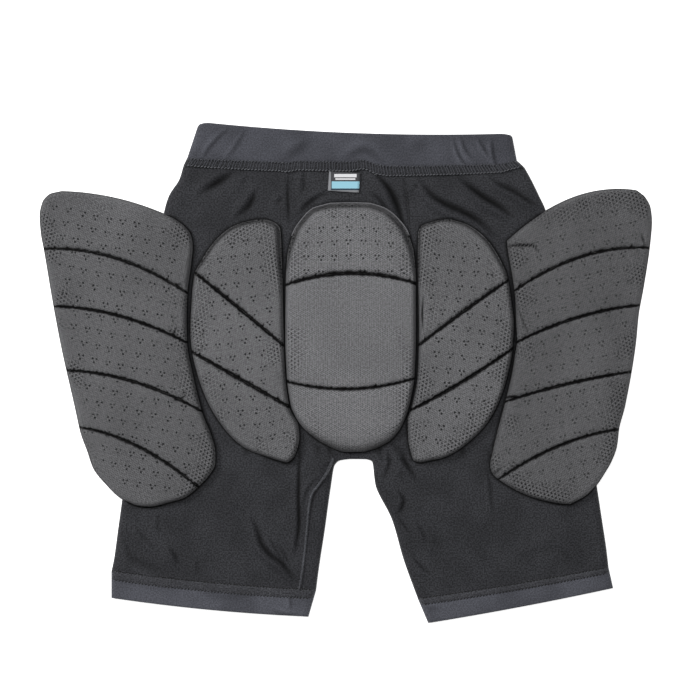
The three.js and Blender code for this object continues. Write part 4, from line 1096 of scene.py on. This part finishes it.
# Materials
class Shader:
    """Builds one material's nodes."""

    def __init__(self, name):
        self.material = bpy.data.materials.new(name)
        self.material.use_nodes = True
        self.tree = self.material.node_tree
        self.surface = self.tree.nodes["Principled BSDF"]

    def node(self, kind, **inputs):
        made = self.tree.nodes.new(kind)
        for key, value in inputs.items():
            self.join(value, made.inputs[key.replace("_", " ")])
        return made

    def join(self, value, socket):
        if isinstance(value, bpy.types.NodeSocket):
            self.tree.links.new(value, socket)
        else:
            socket.default_value = value

    def math(self, operation, *values):
        made = self.tree.nodes.new("ShaderNodeMath")
        made.operation = operation
        for socket, value in zip(made.inputs, values):
            self.join(value, socket)
        return made.outputs[0]

    def run(self, operation, first, *others):
        """One operation on the first two values, then on its result and the next."""
        for value in others:
            first = self.math(operation, first, value)
        return first

    def times(self, *values):
        return self.run("MULTIPLY", *values)

    def plus(self, *values):
        return self.run("ADD", *values)

    def most(self, *values):
        return self.run("MAXIMUM", *values)

    def minus(self, a, b):
        return self.math("SUBTRACT", a, b)

    def wave(self, value, length):
        return self.math("SINE", self.times(value, 2 * math.pi / length))

    def toned(self, colour, tone):
        made = self.node("ShaderNodeHueSaturation", Color=colour, Value=tone)
        return made.outputs["Color"]

    def place(self, source="UV"):
        made = self.tree.nodes.new("ShaderNodeTexCoord")
        split = self.node("ShaderNodeSeparateXYZ", Vector=made.outputs[source])
        return split.outputs["X"], split.outputs["Y"], made.outputs[source]

    def attribute(self, name):
        made = self.tree.nodes.new("ShaderNodeAttribute")
        made.attribute_name = name
        return made.outputs["Fac"]

    def knit_tone(self, scale, least, greatest):
        """Specks of yarn, soft patches where the cloth is a little lighter or darker, and
        the painted shading from the shade attribute: shade painted along the bottoms of the
        folds and round the pads, and highlight painted along the folds' ridges."""
        vector = self.place()[2]
        specks = self.ramp(self.noise(vector, scale, 2.0), 0.35, 0.65, least, greatest)
        worn = self.ramp(self.noise(vector, 28.0, 1.0), 0.35, 0.65, 0.88, 1.12)
        # painted shade and painted highlight, from the shade attribute
        folds = self.minus(1.0, self.times(self.attribute("shade"), 0.9))
        return self.times(specks, worn, folds)

    def noise(self, vector, scale, detail):
        made = self.node(
            "ShaderNodeTexNoise", Vector=vector, Scale=scale, Detail=detail, Roughness=0.6
        )
        return made.outputs["Fac"]

    def ramp(self, value, low, high, start=0.0, end=1.0):
        made = self.tree.nodes.new("ShaderNodeMapRange")
        made.interpolation_type = "SMOOTHSTEP"
        for key, given in zip(
            ("Value", "From Min", "From Max", "To Min", "To Max"),
            (value, low, high, start, end),
        ):
            self.join(given, made.inputs[key])
        return made.outputs["Result"]

    def mix(self, factor, a, b):
        made = self.tree.nodes.new("ShaderNodeMix")
        made.data_type = "RGBA"
        for key, value in zip(("Factor", "A", "B"), (factor, a, b)):
            sockets = [s for s in made.inputs if s.name == key and s.enabled]
            self.join(value, sockets[0])
        return [s for s in made.outputs if s.enabled][0]

    def holes(self, u, v, pitch):
        """1 at the holes of a hexagonal net, down to -0.5 between them."""
        k = 4 * math.pi / (math.sqrt(3) * pitch)
        waves_across = []
        for turn in np.radians((0, 60, 120)):
            along = self.plus(self.times(u, k * math.cos(turn)), self.times(v, k * math.sin(turn)))
            waves_across.append(self.math("COSINE", along))
        return self.math("DIVIDE", self.plus(*waves_across), 3.0)

    def dots(self, u, v, pitch, offset, radius):
        """1 inside dots on a square grid, shifted by an offset."""
        squares = []
        for value, shift in ((u, offset[0]), (v, offset[1])):
            cell = self.math("FRACT", self.math("DIVIDE", self.plus(value, shift), pitch))
            side = self.times(self.minus(cell, 0.5), pitch)
            squares.append(self.times(side, side))
        distance = self.math("SQRT", self.plus(*squares))
        return self.ramp(distance, radius * 1.25, radius * 0.75)

    def bump(self, height, distance, strength):
        made = self.node("ShaderNodeBump", Height=height, Distance=distance, Strength=strength)
        return made.outputs["Normal"]

    def finish(self, colour, roughness, normal=None, sheen=0.0):
        self.join(colour, self.surface.inputs["Base Color"])
        self.join(roughness, self.surface.inputs["Roughness"])
        self.surface.inputs["Specular IOR Level"].default_value = 0.1
        self.surface.inputs["Sheen Weight"].default_value = sheen
        self.surface.inputs["Sheen Roughness"].default_value = 0.5
        if normal is not None:
            self.join(normal, self.surface.inputs["Normal"])
        return self.material


def grey(level):
    return (level, level, level * 1.04, 1)


def cover_material(name, level, open_mesh, hole_depth):
    """Knitted mesh over foam: fine holes, clusters of holes punched in the foam, and painted
    shade in the channels and creases, on the sides, and along the rim where it sits on the cloth.
    """
    shader = Shader(name)
    u, v, vector = shader.place()
    rim, groove = shader.attribute("rim"), shader.attribute("groove")
    fine = shader.ramp(shader.holes(u, v, MESH_PITCH), 0.1, 0.75)
    wide = shader.ramp(shader.holes(u, v, OPEN_MESH_PITCH), 0.15, 0.6)
    patch = shader.ramp(shader.noise(vector, 22.0, 2.0), 0.42, 0.6)
    stretched = shader.times(shader.ramp(rim, 30.0, 7.0), patch)
    holes = shader.most(shader.times(fine, 0.7), shader.times(wide, stretched, open_mesh))
    shift = shader.node("ShaderNodeTexNoise", Vector=vector, Scale=30.0).outputs["Color"]
    shift = shader.node("ShaderNodeSeparateColor", Color=shift).outputs
    near_u = shader.plus(u, shader.times(shift["Red"], CLUSTER_DRIFT))
    near_v = shader.plus(v, shader.times(shift["Green"], CLUSTER_DRIFT))
    dots = [
        shader.dots(near_u, near_v, CLUSTER_PITCH, offset, DOT_RADIUS) for offset in DOT_OFFSETS
    ]
    faint = shader.noise(vector, 170.0, 0.0)
    shown = shader.times(
        shader.most(*dots), shader.attribute("punched"), shader.ramp(rim, 9.0, 13.0),
        shader.ramp(faint, 0.3, 0.5, 0.55 * hole_depth, 1.2 * hole_depth),
        shader.minus(1.0, groove),
    )
    holes = shader.most(holes, shown)
    # tone: random patches and specks, and the painted shade of the sides from the foam attribute
    tone = shader.times(
        shader.ramp(shader.noise(vector, 12.0, 2.0), 0.3, 0.7, 0.92, 1.08),
        shader.ramp(shader.noise(vector, 520.0, 2.0), 0.3, 0.7, 0.7, 1.3),
        shader.ramp(shader.attribute("foam"), 0.0, 0.5, 0.38, 1.0),
    )
    # painted shadow along the rim, where the pad sits on the cloth
    edge = shader.times(shader.ramp(rim, 0.3, 1.3, 1, 0), shader.attribute("over"))
    base = shader.mix(holes, grey(level), grey(level * 0.12))
    # the channels' painted shade and the rim's painted shadow, mixed to near black
    line = shader.most(shader.ramp(groove, 0.13, 0.8), edge)
    shaded = shader.mix(line, base, grey(0.002))
    normal = shader.bump(shader.minus(1.0, holes), 0.35 * MM, 0.8)
    return shader.finish(shader.toned(shaded, tone), 0.8, normal)


def jersey_material(name, level):
    """Smooth stretch knit with fine ribs along the leg."""
    shader = Shader(name)
    u, v, _ = shader.place()
    knit = shader.times(shader.wave(u, 1.1 * MM), shader.wave(v, 0.9 * MM))
    tone = shader.knit_tone(650.0, 0.55, 1.6)
    normal = shader.bump(knit, 0.12 * MM, 0.5)
    yarn = (level, level * 1.02, level * 1.15, 1)
    return shader.finish(shader.toned(yarn, tone), 0.62, normal, 0.06)


def band_material(name, level):
    """Thicker knit with a fine twill grain."""
    shader = Shader(name)
    u, v, _ = shader.place()
    grain = shader.wave(shader.plus(u, shader.times(v, 0.6)), 1.7 * MM)
    row = shader.wave(v, 1.2 * MM)
    knit = shader.plus(shader.times(grain, 0.6), shader.times(row, 0.4))
    tone = shader.knit_tone(700.0, 0.75, 1.3)
    normal = shader.bump(knit, 0.25 * MM, 0.7)
    yarn = (level, level * 1.03, level * 1.22, 1)
    return shader.finish(shader.toned(yarn, tone), 0.75, normal, 0.05)


def thread_material(name, colour):
    shader = Shader(name)
    vector = shader.place("Object")[2]
    tone = shader.ramp(shader.noise(vector, 800.0, 1.0), 0.3, 0.7, 0.8, 1.2)
    return shader.finish(shader.toned(colour, tone), 0.7, None, 0.2)


def label_material(name, low, high):
    """Woven satin: a dark field with plain pale bars, a plain pale blue field, and a
    dark turned edge with a light selvedge."""
    shader = Shader(name)
    u, v, vector = shader.place("Object")
    across = shader.math("DIVIDE", shader.minus(u, low[0]), high[0] - low[0])
    down = shader.math("DIVIDE", shader.minus(high[1], v), high[1] - low[1])

    def band(value, start, end):
        after = shader.math("GREATER_THAN", value, start)
        return shader.times(after, shader.math("LESS_THAN", value, end))

    def patch(sides, rows):
        return shader.times(band(across, *sides), band(down, *rows))

    bars = shader.most(patch((0.16, 0.88), (0.1, 0.27)), patch((0.2, 0.84), (0.32, 0.4)))
    colour = shader.mix(bars, (0.06, 0.061, 0.067, 1), (0.7, 0.7, 0.72, 1))
    colour = shader.mix(patch((0.08, 0.98), (0.48, 0.84)), colour, (0.29, 0.55, 0.66, 1))
    colour = shader.mix(band(down, 0.84, 0.93), colour, (0.03, 0.05, 0.07, 1))
    selvedge = shader.most(band(down, 0.93, 2), band(across, -1, 0.05))
    colour = shader.mix(selvedge, colour, (0.23, 0.235, 0.25, 1))
    normal = shader.bump(shader.wave(v, 0.8 * MM), 0.1 * MM, 0.5)
    return shader.finish(colour, 0.5, normal, 0.1)


def waist_label():
    """The label under the waist seam, a little askew and lifting at its lower end, and
    its material."""
    low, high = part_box("size_label")
    width = high.x - low.x - 0.6 * MM
    length = high.y - low.y - 1.4 * MM
    middle, top = (low.x + high.x) / 2 - 0.4 * MM, high.y + 1.4 * MM
    across = np.linspace(-0.5, 0.5, LABEL_POINTS) * width
    rows = []
    for down in np.linspace(0, 1, LABEL_POINTS):
        x = middle + across + math.sin(LABEL_TILT) * down * length
        y = top - down * length + math.sin(LABEL_TILT) * across
        z = np.full(LABEL_POINTS, low.z + 0.2 * MM + LABEL_LIFT * down**2)
        above = np.column_stack([x, y, z + LABEL_THICKNESS])
        rows.append(np.concatenate([above, np.column_stack([x[::-1], y[::-1], z])]))
    label = loft("waist_label", np.array(rows)[:, ::-1])
    lowest, highest = (middle - width / 2, top - length), (middle + width / 2, top)
    return label, label_material("woven_label", lowest, highest)


# Build
pad_rims = [pad_rows(shape, node, 6, 12)[2] for node, shape in PADS.items()]

jersey = jersey_material("dark_jersey", 0.0245)
band_knit = band_material("band_knit", 0.057)
hem_knit = band_material("hem_knit", 0.069)
seam_knit = jersey_material("seam_knit", 0.022)
# a lighter copy of the jersey for the inseam's ridge and stitches: painted highlight
inseam_highlight_knit = jersey_material("inseam_highlight_knit", 0.06)
thread = thread_material("overlock_thread", (0.056, 0.058, 0.068, 1))
edge_yarn = thread_material("edge_thread", (0.1, 0.103, 0.115, 1))
hem_seam_knit = jersey_material("hem_seam_knit", 0.04)
hem_thread = thread_material("hem_thread", (0.036, 0.036, 0.042, 1))
channel_thread = thread_material("channel_thread", (0.004, 0.004, 0.004, 1))

cloth = joined("shorts_cloth", [half_shorts("left"), half_shorts("right")])
settle(waved(cloth), jersey, "jersey", (
    "front_panel", "back_centre_panel", "left_leg_panel", "right_leg_panel",
    "left_inner_leg_panel", "right_inner_leg_panel",
))

seam_row = higher(waist_row, SEAM_GAP)
seam_end = band_row(seam_row, "waist_seam", WAIST_SEAM_HEIGHT)
band_start = higher(seam_end, -BAND_OVERLAP)
waist_seam = ring(
    "waist_seam", seam_row, WAIST_SEAM_HEIGHT, SEAM_WALL, 1.2 * MM, 3, bulge=0.5 * MM
)
settle(waved(waist_seam), seam_knit, "overlock", ["waist_seam"])
waistband = ring(
    "waistband", band_start, BAND_HEIGHT, BAND_WALL, 1.2 * MM, 24, gather_lift, corner=5 * MM
)
settle(waved(waistband), band_knit, "band_knit", ["waistband"])
seam_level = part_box("waist_seam")[1].z
waist_stitches = ladder("waist_stitches", seam_row, seam_end, seam_level + 0.1 * MM, 0.42 * MM)
settle(waved(waist_stitches), thread, "overlock")
for share in (0.08, 0.95):
    row = band_row(seam_row, "waist_seam", WAIST_SEAM_HEIGHT, share)
    edge = edge_thread(f"waist_edge_{round(share)}", row, seam_level + 0.3 * MM)
    settle(waved(edge), edge_yarn if share < 0.5 else thread, "overlock")

for side in ("left", "right"):
    name = f"{side}_hem_band"
    start = leg_tables[side][-1]
    hem = ring(name, start, HEM_HEIGHT + SEAM_GAP, HEM_WALL, 1.6 * MM, 14, hem_lift)
    settle(hem, hem_knit, "band_knit", [name])
    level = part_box(name)[1].z
    far = band_row(start, name, HEM_HEIGHT, HEM_SEAM_SHARE[side])
    near = higher(start, HEM_SEAM_START)
    settle(seam_strip(f"{side}_hem_seam", near, far, level, 0.8 * MM), hem_seam_knit, "overlock")
    stitches = ladder(f"{side}_hem_stitches", start, far, level + 0.2 * MM, 0.3 * MM)
    settle(stitches, hem_thread, "overlock")
    # near-black looper threads along both edges of the hem seam; the top one also stands in for
    # the shade where the hem meets the leg: painted shade as a dark thread
    for place, row in (("top", near), ("low", far)):
        edge = edge_thread(f"{side}_hem_{place}", row, level - 0.2 * MM, 0.4 * MM)
        settle(edge, channel_thread, "overlock")

for node, shape in PADS.items():
    cover, stitching, points = pad(node, shape)
    openness, depth = shape.get("open_mesh", 1.0), shape.get("hole_depth", 1.0)
    mesh_knit = cover_material(node + "_mesh", shape["tone"], openness, depth)
    settle(cover, mesh_knit, "padding", [node])
    settle(stitching, channel_thread, "padding")
    if node == "tailbone_pad":
        settle(piping(points), thread_material("piping", (0.15, 0.15, 0.16, 1)), "padding")

settle(*waist_label(), "label", ["size_label"])

seam_looks = {
    "left_inseam": (inseam_highlight_knit, inseam_highlight_knit),
    "right_back_seam": (jersey, channel_thread),
}
for name, (points, wide, tall) in SEAMS.items():
    body, stitches = ridge(name, points, wide, tall)
    body_look, stitch_look = seam_looks[name]
    settle(body, body_look, "jersey")
    settle(stitches, stitch_look, "overlock")

# Floor, light and camera
corners = [(x * FLOOR_REACH, y * FLOOR_REACH, 0) for x, y in ((-1, -1), (1, -1), (1, 1), (-1, 1))]
floor = placed("floor", smooth_mesh("floor", corners, [(0, 1, 2, 3)]))
floor_shader = Shader("white_floor")
floor_shader.surface.inputs["Emission Color"].default_value = (1, 1, 1, 1)
floor_shader.surface.inputs["Emission Strength"].default_value = FLOOR_GLOW
floor.data.materials.append(floor_shader.finish((0.93, 0.93, 0.93, 1), 0.9))


def area_light(name, place, size, power):
    """A square lamp that points at the middle of the shorts."""
    data = bpy.data.lights.new(name, "AREA")
    data.size = size
    data.energy = power
    lamp = placed(name, data)
    lamp.location = place
    lamp.rotation_euler = (-Vector(place)).to_track_quat("-Z", "Y").to_euler()


area_light("key", KEY_PLACE, KEY_SIZE, KEY_POWER)
area_light("overhead", OVERHEAD_PLACE, OVERHEAD_SIZE, OVERHEAD_POWER)
world = bpy.data.worlds.new("studio")
world.use_nodes = True
sky = world.node_tree.nodes["Background"].inputs
sky["Color"].default_value = (1, 1, 1, 1)
sky["Strength"].default_value = WORLD_GLOW

scene = bpy.context.scene
scene.world = world
camera_data = bpy.data.cameras.new("camera")
camera_data.sensor_width = SENSOR_WIDTH
camera_data.lens = SENSOR_WIDTH * (CAMERA_HEIGHT - PHOTO_LEVEL) / PHOTO_WIDTH
camera = placed("camera", camera_data)
camera.location = (*PHOTO_CENTRE, CAMERA_HEIGHT)
scene.camera = camera
scene.render.resolution_x = IMAGE_SIZE
scene.render.resolution_y = IMAGE_SIZE
scene.view_settings.view_transform = "Standard"
